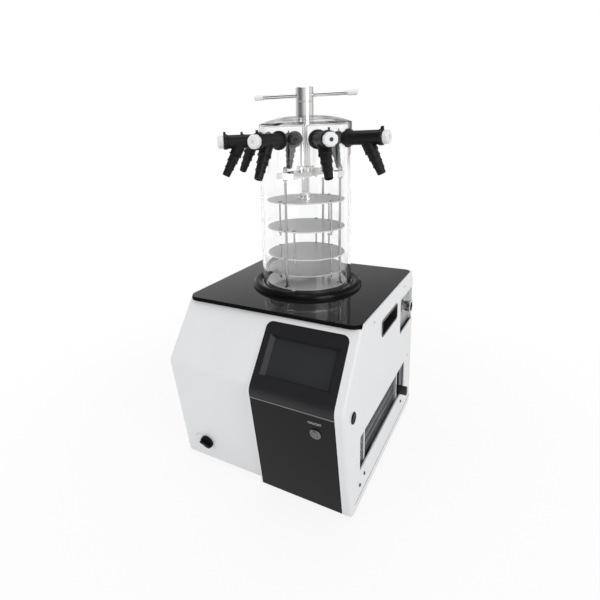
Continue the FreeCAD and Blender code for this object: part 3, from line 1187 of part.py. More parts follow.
def build_all():
    node("base_pan", base_pan())
    node("feet", feet())
    node("left_shell", left_shell())
    node("right_shell", right_shell())
    node("rear_panel", rear_panel())
    node("top_plate", top_plate())
    node("case_screws", copies("screw_set", case_screw(), screw_places()))
    node("upper_fascia", upper_fascia())
    node("lower_fascia", lower_fascia())
    node("trim_strip", trim_strip())
    node("touch_screen", touch_screen())
    node("button_bezel", button_bezel())
    node("power_button", power_button())
    node("drain_valve", drain_valve())
    node("drain_knob", drain_knob())
    node("drain_hose", drain_hose())
    node("side_socket", side_socket())
    node("grip_cups", grip_cups())
    node("port_recess", port_recess())
    node("vacuum_port", vacuum_port())
    node("mains_inlet", mains_inlet())
    node("condenser", condenser())
    node("fan_motor", fan_motor())
    node("fan_blades", fan_blades())
    node("compressor", compressor())
    node("refrigerant_pipes", refrigerant_pipes())
    node("cold_trap", cold_trap())
    node("trap_insulation", trap_insulation())
    node("seal_ring", seal_ring())
    node("chamber_gasket", chamber_gasket())
    node("trap_cover", trap_cover())
    node("chamber_tube", chamber_tube())
    node("chamber_lid", chamber_lid())
    node("valve_bodies", copies("valve_set", valve_body(), [facing(angle) for angle in valve_angles()]))
    knob = valve_knob()
    for number, angle in enumerate(valve_angles(), start=1):
        node(f"valve_knob_{number}", copies(f"knob_{number}_placed", knob, [facing(angle)]))
    node("gland", gland())
    node("gland_nut", gland_nut())
    node("handle_hub", handle_hub())
    node("tee_bar", tee_bar())
    node("bar_caps", bar_caps())
    node("press_shaft", press_shaft())
    node("press_screw", press_screw())
    node("bridge", bridge())
    node("press_coupling", press_coupling())
    for label, level in zip(("press_plate", "shelf_2", "shelf_3", "shelf_4"), PIN_OFFSETS):
        node(label, shelf(label, level))
    node("upper_pins", hanger_pins("pins_a", "shelf_a", "shelf_b", "pins_back", "fit_gap"))
    node("middle_pins", hanger_pins("pins_b", "shelf_b", "shelf_c", "pins_fore", "fit_gap"))
    node("lower_pins", hanger_pins("pins_c", "shelf_c", "shelf_d", "pins_back", "pin_rise"))
    node("tie_rods", tie_rods())
    node("dome_nuts", dome_nuts())


build_all()
doc.recompute()

faults = [f"{item.Name} did not build" for item in doc.Objects
          if "Invalid" in item.State or "Error" in item.State]
faults += [f"{item.Label} is not a sound solid" for item in nodes
           if item.Shape.isNull() or not item.Shape.isValid() or not item.Shape.Solids]
if faults:
    raise RuntimeError("; ".join(faults))

os.makedirs("parts", exist_ok=True)
for item in nodes:
    item.Shape.exportStep(os.path.join("parts", item.Label + ".step"))

whole = Part.makeCompound([item.Shape for item in nodes]).BoundBox
print(f"{len(nodes)} pieces; x {whole.XMin:.2f}..{whole.XMax:.2f}, y {whole.YMin:.2f}..{whole.YMax:.2f},"
      f" z {whole.ZMin:.2f}..{whole.ZMax:.2f}")
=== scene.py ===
import math

import bmesh
import bpy
from mathutils import Matrix, Vector


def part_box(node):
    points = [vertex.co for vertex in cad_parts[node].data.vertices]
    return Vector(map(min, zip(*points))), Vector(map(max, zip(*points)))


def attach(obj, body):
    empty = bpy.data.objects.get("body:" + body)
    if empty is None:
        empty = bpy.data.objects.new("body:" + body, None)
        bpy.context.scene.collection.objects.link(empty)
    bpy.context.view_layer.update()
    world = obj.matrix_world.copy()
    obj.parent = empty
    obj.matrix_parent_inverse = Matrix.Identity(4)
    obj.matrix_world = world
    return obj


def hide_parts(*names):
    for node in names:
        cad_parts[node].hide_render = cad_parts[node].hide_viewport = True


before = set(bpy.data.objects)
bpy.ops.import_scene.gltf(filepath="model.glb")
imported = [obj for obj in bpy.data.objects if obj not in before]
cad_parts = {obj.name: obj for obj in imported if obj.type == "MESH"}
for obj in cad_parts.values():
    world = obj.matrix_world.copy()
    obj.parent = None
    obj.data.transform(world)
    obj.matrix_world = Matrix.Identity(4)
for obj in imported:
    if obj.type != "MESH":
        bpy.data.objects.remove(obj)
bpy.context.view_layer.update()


# ---- Camera --------------------------------------------------------------------------------------
# The machine is seen from in front of its right corner, from a little above the valves,
# with a wide lens held slightly off level.
EYE = Vector((0.5014, -1.0639, 0.8216))
HEADING = math.radians(31.27)
DOWN = math.radians(11.73)
ROLL = math.radians(-2.02)

camera = bpy.data.objects.new("camera", bpy.data.cameras.new("camera"))
bpy.context.scene.collection.objects.link(camera)
turn = (Matrix.Rotation(HEADING, 4, "Z") @ Matrix.Rotation(math.pi / 2 - DOWN, 4, "X")
        @ Matrix.Rotation(ROLL, 4, "Z"))
camera.matrix_world = Matrix.Translation(EYE) @ turn
camera.data.sensor_width = 36
camera.data.lens = 27.89
camera.data.shift_x = 0.0764
camera.data.shift_y = -0.1118
camera.data.clip_end = 100
bpy.context.scene.camera = camera
bpy.context.scene.view_settings.view_transform = "Standard"


# ---- Studio: floor, world and lamps --------------------------------------------------------------
# A white sweep with three soft lamps. The world is plain white where it is seen directly or through
# the acrylic; polished metal sees it darker in the gaps between the soft boxes and overhead.
def math_node(tree, operation, first, second=None, clamp=False):
    """A Math node; its inputs are numbers or sockets. Gives its output socket."""
    node = tree.nodes.new("ShaderNodeMath")
    node.operation = operation
    node.use_clamp = clamp
    for index, source in enumerate((first, second)):
        if source is None:
            continue
        if isinstance(source, (int, float)):
            node.inputs[index].default_value = source
        else:
            tree.links.new(source, node.inputs[index])
    return node.outputs[0]


def ramp(tree, source, stops):
    """A colour ramp through grey stops given as (place, grey). Gives its colour socket."""
    node = tree.nodes.new("ShaderNodeValToRGB")
    node.color_ramp.interpolation = "EASE"
    while len(node.color_ramp.elements) < len(stops):
        node.color_ramp.elements.new(0.5)
    for element, (place, grey) in zip(node.color_ramp.elements, stops):
        element.position = place
        element.color = (grey, grey, grey, 1)
    tree.links.new(source, node.inputs[0])
    return node.outputs[0]


world = bpy.data.worlds.new("studio")
bpy.context.scene.world = world
world.use_nodes = True
tree = world.node_tree
tree.nodes.clear()
path = tree.nodes.new("ShaderNodeLightPath")
direction = tree.nodes.new("ShaderNodeTexCoord")
axes = tree.nodes.new("ShaderNodeSeparateXYZ")
tree.links.new(direction.outputs["Generated"], axes.inputs[0])
bearing = math_node(tree, "ARCTAN2", axes.outputs["Y"], axes.outputs["X"])
around = math_node(tree, "ADD", math_node(tree, "DIVIDE", bearing, 2 * math.pi), 0.5)
reflected = ramp(tree, around, [
    (0.0, 0.75), (0.05, 0.5), (0.1, 0.24), (0.15, 0.13), (0.2, 0.2), (0.25, 0.5), (0.31, 0.9), (0.37, 1.0),
    (0.41, 0.95), (0.445, 0.5), (0.485, 0.95), (0.6, 1.0), (0.66, 0.9), (0.71, 0.35), (0.755, 0.12),
    (0.8, 0.5), (0.84, 0.72), (0.9, 0.9), (1.0, 0.75)])
seen = tree.nodes.new("ShaderNodeBackground")
seen.inputs["Color"].default_value = (1, 1, 1, 1)
mirrored = tree.nodes.new("ShaderNodeBackground")
tree.links.new(reflected, mirrored.inputs["Color"])
height = ramp(tree, axes.outputs["Z"], [(0.0, 0.9), (0.2, 1.0), (0.42, 0.5), (0.75, 0.3), (1.0, 0.45)])
tree.links.new(height, mirrored.inputs["Strength"])
ambient = tree.nodes.new("ShaderNodeBackground")
ambient.inputs["Color"].default_value = (0.97, 0.985, 1, 1)
ambient.inputs["Strength"].default_value = 0.6
bounced = math_node(tree, "MINIMUM", path.outputs["Glossy Depth"], 1)
off_metal = math_node(tree, "MULTIPLY", bounced, math_node(tree, "SUBTRACT", 1,
                                                           path.outputs["Is Diffuse Ray"]))
direct = math_node(tree, "MAXIMUM", path.outputs["Is Camera Ray"], path.outputs["Is Transmission Ray"])
direct = math_node(tree, "MULTIPLY", direct, math_node(tree, "SUBTRACT", 1, bounced))
first_mix = tree.nodes.new("ShaderNodeMixShader")
tree.links.new(off_metal, first_mix.inputs[0])
tree.links.new(ambient.outputs[0], first_mix.inputs[1])
tree.links.new(mirrored.outputs[0], first_mix.inputs[2])
last_mix = tree.nodes.new("ShaderNodeMixShader")
tree.links.new(direct, last_mix.inputs[0])
tree.links.new(first_mix.outputs[0], last_mix.inputs[1])
tree.links.new(seen.outputs[0], last_mix.inputs[2])
out = tree.nodes.new("ShaderNodeOutputWorld")
tree.links.new(last_mix.outputs[0], out.inputs[0])


def piece_from(name, mesh_bm):
    """Turn a bmesh into a linked object with that name."""
    mesh = bpy.data.meshes.new(name)
    mesh_bm.to_mesh(mesh)
    mesh_bm.free()
    item = bpy.data.objects.new(name, mesh)
    bpy.context.scene.collection.objects.link(item)
    return item


FLOOR_HALF = 30.0
bm = bmesh.new()
bmesh.ops.create_grid(bm, x_segments=1, y_segments=1, size=FLOOR_HALF)
floor = piece_from("floor", bm)
paper = bpy.data.materials.new("paper_sweep")
paper.use_nodes = True
tree = paper.node_tree
tree.nodes.clear()
place = tree.nodes.new("ShaderNodeTexCoord")
length = tree.nodes.new("ShaderNodeVectorMath")
length.operation = "LENGTH"
tree.links.new(place.outputs["Object"], length.inputs[0])
path = tree.nodes.new("ShaderNodeLightPath")
diffuse = tree.nodes.new("ShaderNodeBsdfDiffuse")
diffuse.inputs["Color"].default_value = (0.9, 0.9, 0.9, 1)
glow = tree.nodes.new("ShaderNodeEmission")
far = ramp(tree, math_node(tree, "MULTIPLY", length.outputs["Value"], 0.4), [(0.15, 0.86), (0.5, 1.0)])
either = math_node(tree, "MAXIMUM", path.outputs["Is Camera Ray"], path.outputs["Is Glossy Ray"])
either = math_node(tree, "MAXIMUM", either, path.outputs["Is Transmission Ray"])
share = math_node(tree, "MULTIPLY", either, far)
mix = tree.nodes.new("ShaderNodeMixShader")
tree.links.new(share, mix.inputs[0])
tree.links.new(diffuse.outputs[0], mix.inputs[1])
tree.links.new(glow.outputs[0], mix.inputs[2])
out = tree.nodes.new("ShaderNodeOutputMaterial")
tree.links.new(mix.outputs[0], out.inputs[0])
floor.data.materials.append(paper)


LAMP_AIM = Vector((0, 0, 0.35))


def soft_lamp(name, place, size, watts):
    """A square soft box at a place, pointed at the middle of the machine."""
    lamp = bpy.data.objects.new(name, bpy.data.lights.new(name, "AREA"))
    bpy.context.scene.collection.objects.link(lamp)
    lamp.data.size = size
    lamp.data.energy = watts
    aim = LAMP_AIM - Vector(place)
    lamp.matrix_world = Matrix.Translation(place) @ aim.to_track_quat("-Z", "Y").to_matrix().to_4x4()
    return lamp


soft_lamp("key_lamp", (2.9, -1.4, 1.9), 1.8, 34)
fill = soft_lamp("fill_lamp", (-1.6, -3.2, 1.3), 2.0, 21)
fill.visible_glossy = False
soft_lamp("top_lamp", (-0.3, 0.2, 3.2), 1.6, 16)


# ---- Base pan and feet ---------------------------------------------------------------------------
# A folded pan of galvanised sheet closes the case underneath. It stands on four moulded rubber feet,
# each screwed up through its middle.
def effect(name, sockets):
    """A shader node group with an input and an output node. Sockets are (name, kind, in or out, value)."""
    group = bpy.data.node_groups.new(name, "ShaderNodeTree")
    for label, kind, side, start in sockets:
        socket = group.interface.new_socket(name=label, in_out=side, socket_type="NodeSocket" + kind)
        if start is not None:
            socket.default_value = start
    return group, group.nodes.new("NodeGroupInput"), group.nodes.new("NodeGroupOutput")


def noise(tree, place, scale, detail, stretch=None):
    """A noise texture's value at a place, its space stretched if asked. Gives its socket."""
    if stretch is not None:
        mapping = tree.nodes.new("ShaderNodeMapping")
        mapping.inputs["Scale"].default_value = stretch
        tree.links.new(place, mapping.inputs["Vector"])
        place = mapping.outputs[0]
    node = tree.nodes.new("ShaderNodeTexNoise")
    node.inputs["Detail"].default_value = detail
    tree.links.new(place, node.inputs["Vector"])
    if isinstance(scale, (int, float)):
        node.inputs["Scale"].default_value = scale
    else:
        tree.links.new(scale, node.inputs["Scale"])
    return node.outputs[0]


# Sprayed or moulded grain: Tone drifts slowly over the surface and Height is the fine texture.
grain, inner, outer = effect("fine_grain", [
    ("Place", "Vector", "INPUT", None), ("Fineness", "Float", "INPUT", 900.0), ("Patches", "Float",
                                                                                "INPUT", 9.0),
    ("Tone", "Float", "OUTPUT", None), ("Height", "Float", "OUTPUT", None)])
patches = noise(grain, inner.outputs["Place"], inner.outputs["Patches"], 3)
texture = noise(grain, inner.outputs["Place"], inner.outputs["Fineness"], 2)
grain.links.new(patches, outer.inputs["Tone"])
grain.links.new(texture, outer.inputs["Height"])

# Rolled or brushed metal: long fine lines along one axis, with broader cloudy bands.
lines, inner, outer = effect("drawn_lines", [
    ("Place", "Vector", "INPUT", None), ("Stretch", "Vector", "INPUT", (1.0, 1.0, 1.0)),
    ("Fineness", "Float", "INPUT", 300.0), ("Tone", "Float", "OUTPUT", None), ("Height", "Float",
                                                                               "OUTPUT", None)])
stretch = lines.nodes.new("ShaderNodeVectorMath")
stretch.operation = "MULTIPLY"
lines.links.new(inner.outputs["Place"], stretch.inputs[0])
lines.links.new(inner.outputs["Stretch"], stretch.inputs[1])
fine = noise(lines, stretch.outputs[0], inner.outputs["Fineness"], 4)
broad = noise(lines, inner.outputs["Place"], 14, 2)
fine_share = math_node(lines, "MULTIPLY", fine, 0.6)
broad_share = math_node(lines, "MULTIPLY", broad, 0.4)
lines.links.new(math_node(lines, "ADD", fine_share, broad_share), outer.inputs["Tone"])
lines.links.new(fine, outer.inputs["Height"])


def finish(name, colour, rough, tint=0.04, spread=0.04, bump=0.05, fineness=900.0, brushed=None, **shader):
    """A material whose colour, roughness and relief follow an effect. brushed is a stretch along an axis;
    the rest are the Principled shader's own sockets."""
    material = bpy.data.materials.new(name)
    material.use_nodes = True
    tree = material.node_tree
    principled = tree.nodes["Principled BSDF"]
    place = tree.nodes.new("ShaderNodeTexCoord")
    pattern = tree.nodes.new("ShaderNodeGroup")
    pattern.node_tree = grain if brushed is None else lines
    tree.links.new(place.outputs["Object"], pattern.inputs["Place"])
    pattern.inputs["Fineness"].default_value = fineness
    if brushed is not None:
        pattern.inputs["Stretch"].default_value = brushed
    shades = tree.nodes.new("ShaderNodeValToRGB")
    for element, share in zip(shades.color_ramp.elements, (1 - tint, 1 + tint)):
        element.color = [min(channel * share, 1) for channel in colour] + [1]
    shades.color_ramp.elements[0].position = 0.3
    shades.color_ramp.elements[1].position = 0.7
    tree.links.new(pattern.outputs["Tone"], shades.inputs[0])
    tree.links.new(shades.outputs[0], principled.inputs["Base Color"])
    smooth = tree.nodes.new("ShaderNodeMapRange")
    smooth.inputs["From Min"].default_value = 0.3
    smooth.inputs["From Max"].default_value = 0.7
    smooth.inputs["To Min"].default_value = max(rough - spread, 0.0)
    smooth.inputs["To Max"].default_value = rough + spread
    tree.links.new(pattern.outputs["Tone"], smooth.inputs["Value"])
    tree.links.new(smooth.outputs[0], principled.inputs["Roughness"])
    relief = tree.nodes.new("ShaderNodeBump")
    relief.inputs["Strength"].default_value = bump
    relief.inputs["Distance"].default_value = 0.0002
    tree.links.new(pattern.outputs["Height"], relief.inputs["Height"])
    tree.links.new(relief.outputs[0], principled.inputs["Normal"])
    for socket, value in shader.items():
        principled.inputs[socket.replace("_", " ").title().replace("Ior", "IOR")].default_value = value
    return material


def dress(material, *names):
    """Give CAD nodes their finish."""
    for name in names:
        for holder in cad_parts[name].material_slots:
            holder.material = material


galvanised = finish("galvanised_sheet", (0.58, 0.6, 0.61), 0.38, 0.12, 0.1, 0.1, 160.0, metallic=0.9)
black_rubber = finish("black_rubber", (0.01, 0.01, 0.011), 0.45, 0.15, 0.08, 0.12, 1400.0,
                      specular_ior_level=0.24)
dress(galvanised, "base_pan")
dress(black_rubber, "feet")


# ---- Painted shells ------------------------------------------------------------------------------
# The two halves of the case are folded steel sheet, sprayed with a fine white powder coat,
# and the rear panel matches them.
white_coat = finish("white_powder_coat", (0.8, 0.805, 0.815), 0.36, 0.012, 0.05, 0.22, 1100.0,
                    coat_weight=0.15,
                    coat_roughness=0.25)
dress(white_coat, "left_shell", "right_shell", "rear_panel")


def beam(bm, low, high, place=Matrix(), ease=0.0):
    """Add a square-cornered bar between two corners, its edges eased if asked."""
    middle = (Vector(low) + Vector(high)) / 2
    size = Vector(high) - Vector(low)
    made = bmesh.ops.create_cube(bm, size=1, matrix=Matrix.Translation(middle) @ Matrix.Diagonal((*size,
                                                                                                  1)))
    if ease:
        edges = list({edge for vert in made["verts"] for edge in vert.link_edges})
        rounded = bmesh.ops.bevel(bm, geom=edges, offset=ease, offset_type="OFFSET", affect="EDGES",
                                  segments=2,
                                  profile=0.5, material=-1, clamp_overlap=True)
        corners = list({vert for face in rounded["faces"] for vert in face.verts}
                       | {vert for vert in made["verts"] if vert.is_valid})
        bmesh.ops.transform(bm, matrix=place, verts=corners)
    else:
        bmesh.ops.transform(bm, matrix=place, verts=made["verts"])


def spun(bm, section, place=Matrix(), sweep=2 * math.pi, steps=48, climb=0.0):
    """Add a half section of (radius, height) spun about Z, all the way or through part of a turn or along
    a screw's climb, then put in its place."""
    corners = [bm.verts.new((radius, 0, height)) for radius, height in section]
    edges = [bm.edges.new(pair) for pair in zip(corners, corners[1:])]
    whole = abs(sweep - 2 * math.pi) < 1e-6 and climb == 0
    if section[0][0] > 0 or section[-1][0] > 0:
        edges.append(bm.edges.new((corners[-1], corners[0])))
    first = corners + edges if whole else [bm.faces.new(corners)]
    known = set(bm.verts) - set(corners)
    bmesh.ops.spin(bm, geom=first, cent=(0, 0, 0), axis=(0, 0, 1), dvec=(0, 0, climb / steps), angle=sweep,
                   steps=steps, use_merge=whole)
    made = [vert for vert in bm.verts if vert not in known]
    bmesh.ops.remove_doubles(bm, verts=made, dist=1e-6)
    made = [vert for vert in bm.verts if vert not in known]
    bmesh.ops.transform(bm, matrix=place, verts=made)


def add_piece(name, bm, material, body):
    """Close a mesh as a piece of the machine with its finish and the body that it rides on."""
    bmesh.ops.recalc_face_normals(bm, faces=bm.faces)
    item = piece_from(name, bm)
    item.data.materials.append(material)
    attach(item, body)
    return item


# A joint line runs along the foot of each side wall, where it laps the base pan; the thin dark strip drawn
# there is painted shadow of the gap. Six screws with crossed slots hold each wall, and the dark crosses
# sunk in their heads are painted shadow in the slots. Each place is the distance behind the plate's front
# edge and the height.
CASE_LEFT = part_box("left_shell")[0][0]
CASE_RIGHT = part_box("right_shell")[1][0]
PLATE_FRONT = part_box("top_plate")[0][1]
CASE_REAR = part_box("rear_panel")[1][1]
JOINT_LOW, JOINT_TOP = 0.0291, 0.0309
JOINT_FRONT, JOINT_BACK, THIN_LAYER = 0.033, 0.004, 0.0001
SCREWS = [(0.087, 0.408), (0.367, 0.407), (0.426, 0.179), (0.357, 0.068), (0.031, 0.0655), (0.0, 0.0575)]
HEAD_HIGH, SLOT_REACH, SLOT_HALF, SLOT_DEEP, SLOT_TURN = 0.0022, 0.0014, 0.0004, 0.0012, 20
BLACK_BELOW = 0.12
painted_gap_shadow = finish("joint_shadow", (0.07, 0.07, 0.072), 0.6, 0.1, 0.05, 0.05, 900.0)
screw_black_and_hole_shadow = finish("black_zinc_and_hole_shadow", (0.015, 0.015, 0.016), 0.35, 0.1, 0.05, 0.05, 900.0)
bm = bmesh.new()
for side, out in ((CASE_LEFT, -THIN_LAYER), (CASE_RIGHT, THIN_LAYER)):
    low, high = sorted((side, side + out))
    beam(bm, (low, PLATE_FRONT - JOINT_FRONT, JOINT_LOW), (high, CASE_REAR - JOINT_BACK, JOINT_TOP))
add_piece("side_joint_lines", bm, painted_gap_shadow, "cabinet")

crosses = bmesh.new()
for side, facing in ((CASE_LEFT, -90), (CASE_RIGHT, 90)):
    for along, up in SCREWS:
        seat = Matrix.Translation((side, PLATE_FRONT + along, up))
        seat = seat @ Matrix.Rotation(math.radians(facing), 4, "Y")
        for turn in (0, 90):
            beam(crosses, (-SLOT_REACH, -SLOT_HALF, HEAD_HIGH - SLOT_DEEP),
                 (SLOT_REACH, SLOT_HALF, HEAD_HIGH - THIN_LAYER),
                 seat @ Matrix.Rotation(math.radians(turn + SLOT_TURN), 4, "Z"))
add_piece("screw_slots", crosses, painted_gap_shadow, "cabinet")

# The upper three screws of a wall are bright and the lower three black-plated, told apart by height.
case_screw_steel = finish("case_screw_steel", (0.78, 0.775, 0.765), 0.12, 0.03, 0.04, 0.02, 300.0)
tree = case_screw_steel.node_tree
principled = tree.nodes["Principled BSDF"]
spot = tree.nodes.new("ShaderNodeTexCoord")
axes = tree.nodes.new("ShaderNodeSeparateXYZ")
tree.links.new(spot.outputs["Object"], axes.inputs[0])
bright = math_node(tree, "GREATER_THAN", axes.outputs["Z"], BLACK_BELOW)
plating = tree.nodes.new("ShaderNodeMix")
plating.data_type = "RGBA"
plating.inputs[6].default_value = (0.015, 0.015, 0.016, 1)
tree.links.new(bright, plating.inputs[0])
tree.links.new(principled.inputs["Base Color"].links[0].from_socket, plating.inputs[7])
tree.links.new(plating.outputs[2], principled.inputs["Base Color"])
tree.links.new(bright, principled.inputs["Metallic"])
dress(case_screw_steel, "case_screws")


# ---- Top plate -----------------------------------------------------------------------------------
# A ten-millimetre plate of black glass-like acrylic, polished, with eased edges. It lies on the case's
# shells and carries the chamber.
black_gloss = finish("black_gloss_plate", (0.011, 0.011, 0.012), 0.06, 0.1, 0.02, 0.01, 500.0, ior=1.5)
dress(black_gloss, "top_plate")

# Its sawn edge is left matt, without the polish of its faces.
PLATE_UNDER, PLATE_TOP = 0.4203, 0.4296
FRONT_ROUND, BACK_ROUND, EDGE_SKIN = 0.025, 0.018, 0.00015
matt_edge_and_gap_shadow = finish("matt_edge_and_gap_shadow", (0.003, 0.003, 0.0032), 0.6, 0.1, 0.05, 0.1, 900.0, specular_ior_level=0.05)
low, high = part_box("top_plate")
bm = bmesh.new()
beam(bm, (low[0], low[1], PLATE_UNDER), (high[0], high[1], PLATE_TOP))
middle_y = (low[1] + high[1]) / 2
for front, radius in ((True, FRONT_ROUND), (False, BACK_ROUND)):
    upright = [edge for edge in bm.edges if abs(edge.verts[0].co.z - edge.verts[1].co.z) > 0.001
               and (edge.verts[0].co.y < middle_y) == front and abs(edge.verts[0].co.x) > 0.1
               and abs(edge.verts[0].co.y - (low[1] if front else high[1])) < 1e-5]
    bmesh.ops.bevel(bm, geom=upright, offset=radius, offset_type="OFFSET", affect="EDGES", segments=10,
                    profile=0.5, material=-1)
bmesh.ops.delete(bm, geom=[face for face in bm.faces if abs(face.normal.z) > 0.5], context="FACES")
bmesh.ops.solidify(bm, geom=bm.faces[:], thickness=-EDGE_SKIN)
add_piece("plate_edge", bm, matt_edge_and_gap_shadow, "cabinet")


# ---- Fascia, screen and trim ---------------------------------------------------------------------
# Two moulded black panels with a satin film are set in the right half of the front. A thin satin trim
# strip lies between them, and the screen's glass is set back in the upper one.
satin_film = finish("satin_black_film", (0.017, 0.017, 0.019), 0.36, 0.05, 0.04, 0.05, 1500.0,
                    specular_ior_level=0.25)
screen_glass = finish("screen_glass", (0.03, 0.032, 0.034), 0.16, 0.05, 0.03, 0.01, 900.0,
                      specular_ior_level=0.3)
trim_silver = finish("trim_silver", (0.17, 0.173, 0.177), 0.3, 0.06, 0.05, 0.04, 600.0, metallic=0.6)
# The lower panel's film is a darker copy of the upper panel's satin film: painted shade on the lower panel,
# which leans away from the lamps.
lower_film_painted_shade = finish("lower_black_film_painted_shade", (0.0065, 0.0065, 0.007), 0.36, 0.05, 0.04, 0.05, 1500.0,
                    specular_ior_level=0.15)
dress(satin_film, "upper_fascia")
dress(lower_film_painted_shade, "lower_fascia")
dress(screen_glass, "touch_screen")
dress(trim_silver, "trim_strip")


# ---- Power button --------------------------------------------------------------------------------
# A push button turned from steel: a bezel is screwed through the lower panel, and the brushed cap
# slides in it. The steel finishes of the port, the cold trap and the press are made here too.
polished_steel = finish("polished_steel", (0.78, 0.775, 0.765), 0.09, 0.03, 0.04, 0.02, 300.0, metallic=1.0)
brushed_steel = finish("brushed_steel", (0.72, 0.717, 0.705), 0.16, 0.05, 0.05, 0.08, 260.0,
                       (1.0, 1.0, 30.0), metallic=1.0)
port_steel = finish("port_steel", (0.5, 0.5, 0.495), 0.1, 0.05, 0.04, 0.03, 300.0, metallic=1.0)
dress(port_steel, "vacuum_port")
button_steel = finish("button_steel", (0.19, 0.19, 0.188), 0.3, 0.05, 0.06, 0.08, 260.0, (30.0, 1.0, 1.0),
                      metallic=1.0)
dress(button_steel, "power_button", "button_bezel")
dress(black_rubber, "drain_valve")

RIGHT_SLOPE = 50 / 271
RIGHT_LEAN = math.atan(RIGHT_SLOPE)
CASE_FOOT = 0.012


def on_front(place, lean, out=0.0):
    """A frame on the leaning lower front at a point of it: X to the right, Y up the sheet, Z out of it."""
    axes = Matrix(((1, 0, 0), (0, -math.sin(lean), -math.cos(lean)),
                   (0, math.cos(lean), -math.sin(lean)))).to_4x4()
    return Matrix.Translation(place) @ axes @ Matrix.Translation((0, 0, out))


def box_middle(node):
    """The middle of a CAD node's box at rest."""
    low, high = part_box(node)
    return (Vector(low) + Vector(high)) / 2


# The lower panel's long edges are turned back; the thin near-black strips down each side of it are painted
# shadow of the gap between the panel and the shell.
CASE_MIDDLE = (CASE_LEFT + CASE_RIGHT) / 2
PANEL_LOW, PANEL_TOP, PANEL_PROUD = 0.0126, 0.2505, 0.049
LEFT_EDGE, RIGHT_EDGE = (0.0084, 0.0102), (0.2041, 0.2056)
panel_front = PLATE_FRONT - PANEL_PROUD - (PANEL_LOW - CASE_FOOT) * RIGHT_SLOPE
panel_foot = on_front(Vector((CASE_MIDDLE, panel_front, PANEL_LOW)), RIGHT_LEAN)
panel_long = (PANEL_TOP - PANEL_LOW) / math.cos(RIGHT_LEAN)
bm = bmesh.new()
for inner, outer in (LEFT_EDGE, RIGHT_EDGE):
    beam(bm, (inner, 0, -0.0004), (outer, panel_long, -0.0002), panel_foot)
add_piece("panel_edges", bm, matt_edge_and_gap_shadow, "cabinet")

# The cap carries a dark ring and the standby mark, both filled grooves level with its face, and a pale
# printed ON/OFF stands above it.
CAP_FACE = 0.0117
GROOVE = -0.0004
RING, MARK = (0.0064, 0.0075), (0.0026, 0.0035)
MARK_START, MARK_SWEEP = 130, 280
cap_face = on_front(box_middle("power_button"), RIGHT_LEAN, CAP_FACE)
bm = bmesh.new()
spun(bm, [(RING[0], GROOVE), (RING[1], GROOVE), (RING[1], THIN_LAYER), (RING[0], THIN_LAYER)], cap_face)
spun(bm, [(MARK[0], GROOVE), (MARK[1], GROOVE), (MARK[1], THIN_LAYER), (MARK[0], THIN_LAYER)],
     cap_face @ Matrix.Rotation(math.radians(MARK_START), 4, "Z"), math.radians(MARK_SWEEP), 36)
beam(bm, (-0.00045, 0.0008, GROOVE), (0.00045, 0.0042, THIN_LAYER), cap_face)
add_piece("button_marks", bm, screw_black_and_hole_shadow, "button")

LABEL_UP, LABEL_OUT, LABEL_SIZE, LABEL_THICK = 0.0262, 0.0083, 0.0084, 0.00006
label_ink = finish("label_ink", (0.5, 0.51, 0.52), 0.5, 0.05, 0.05, 0.02, 900.0)
curve = bpy.data.curves.new("on_off_label", "FONT")
curve.body = "ON/OFF"
curve.size = LABEL_SIZE
curve.align_x = "CENTER"
curve.align_y = "CENTER"
curve.extrude = LABEL_THICK
holder = bpy.data.objects.new("label_form", curve)
bpy.context.scene.collection.objects.link(holder)
letters = bmesh.new()
letters.from_mesh(bpy.data.meshes.new_from_object(holder))
bpy.data.objects.remove(holder)
label_place = on_front(box_middle("power_button"), RIGHT_LEAN, LABEL_OUT)
bmesh.ops.transform(letters, matrix=label_place @ Matrix.Translation((0, LABEL_UP, 0)), verts=letters.verts)
add_piece("on_off_label", letters, label_ink, "cabinet")


# ---- Drain cock, grips, socket and inlet ---------------------------------------------------------
# Fittings of the case, moulded in black plastic and pressed or screwed into the sheet, and the pale
# plastic bracket that lines the notch behind the vacuum port.
black_moulding = finish("black_moulding", (0.016, 0.016, 0.017), 0.42, 0.12, 0.06, 0.15, 1200.0)
pale_bracket = finish("pale_bracket", (0.4, 0.405, 0.41), 0.42, 0.05, 0.06, 0.1, 900.0)
soft_hose = finish("soft_hose", (0.6, 0.62, 0.62), 0.3, 0.05, 0.05, 0.02, 400.0, transmission_weight=0.3)
dress(black_moulding, "grip_cups", "mains_inlet")
socket_black = finish("socket_black", (0.006, 0.006, 0.0065), 0.5, 0.1, 0.05, 0.1, 900.0,
                      specular_ior_level=0.08)
dress(socket_black, "side_socket", "drain_knob")
dress(pale_bracket, "port_recess")

# A near-black ribbed piece on the bracket's floor under the port is painted shade: it stands for the dark
# gap at the foot of the notch.
SILL = Vector(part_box("port_recess")[0])
SHADE_FRONT, SHADE_UNDER, SHADE_TOP, SHADE_EASE = 0.0095, 0.0016, 0.0032, 0.0004
RIBS, FIRST_RIB, RIB_PITCH, RIB_WIDE, RIB_FOOT, RIB_TOP = 3, 0.0032, 0.0026, 0.0008, 0.003, 0.0042
front, back = SILL.y + SHADE_FRONT, CASE_REAR - JOINT_BACK
bm = bmesh.new()
beam(bm, (SILL.x + 0.0017, front, SILL.z + SHADE_UNDER), (CASE_RIGHT - 0.0035, back, SILL.z + SHADE_TOP),
     ease=SHADE_EASE)
for rib in range(RIBS):
    near = SILL.x + FIRST_RIB + rib * RIB_PITCH
    beam(bm, (near, front, SILL.z + RIB_FOOT), (near + RIB_WIDE, back, SILL.z + RIB_TOP))
add_piece("notch_gap_shade", bm, black_rubber, "cabinet")
dress(soft_hose, "drain_hose")

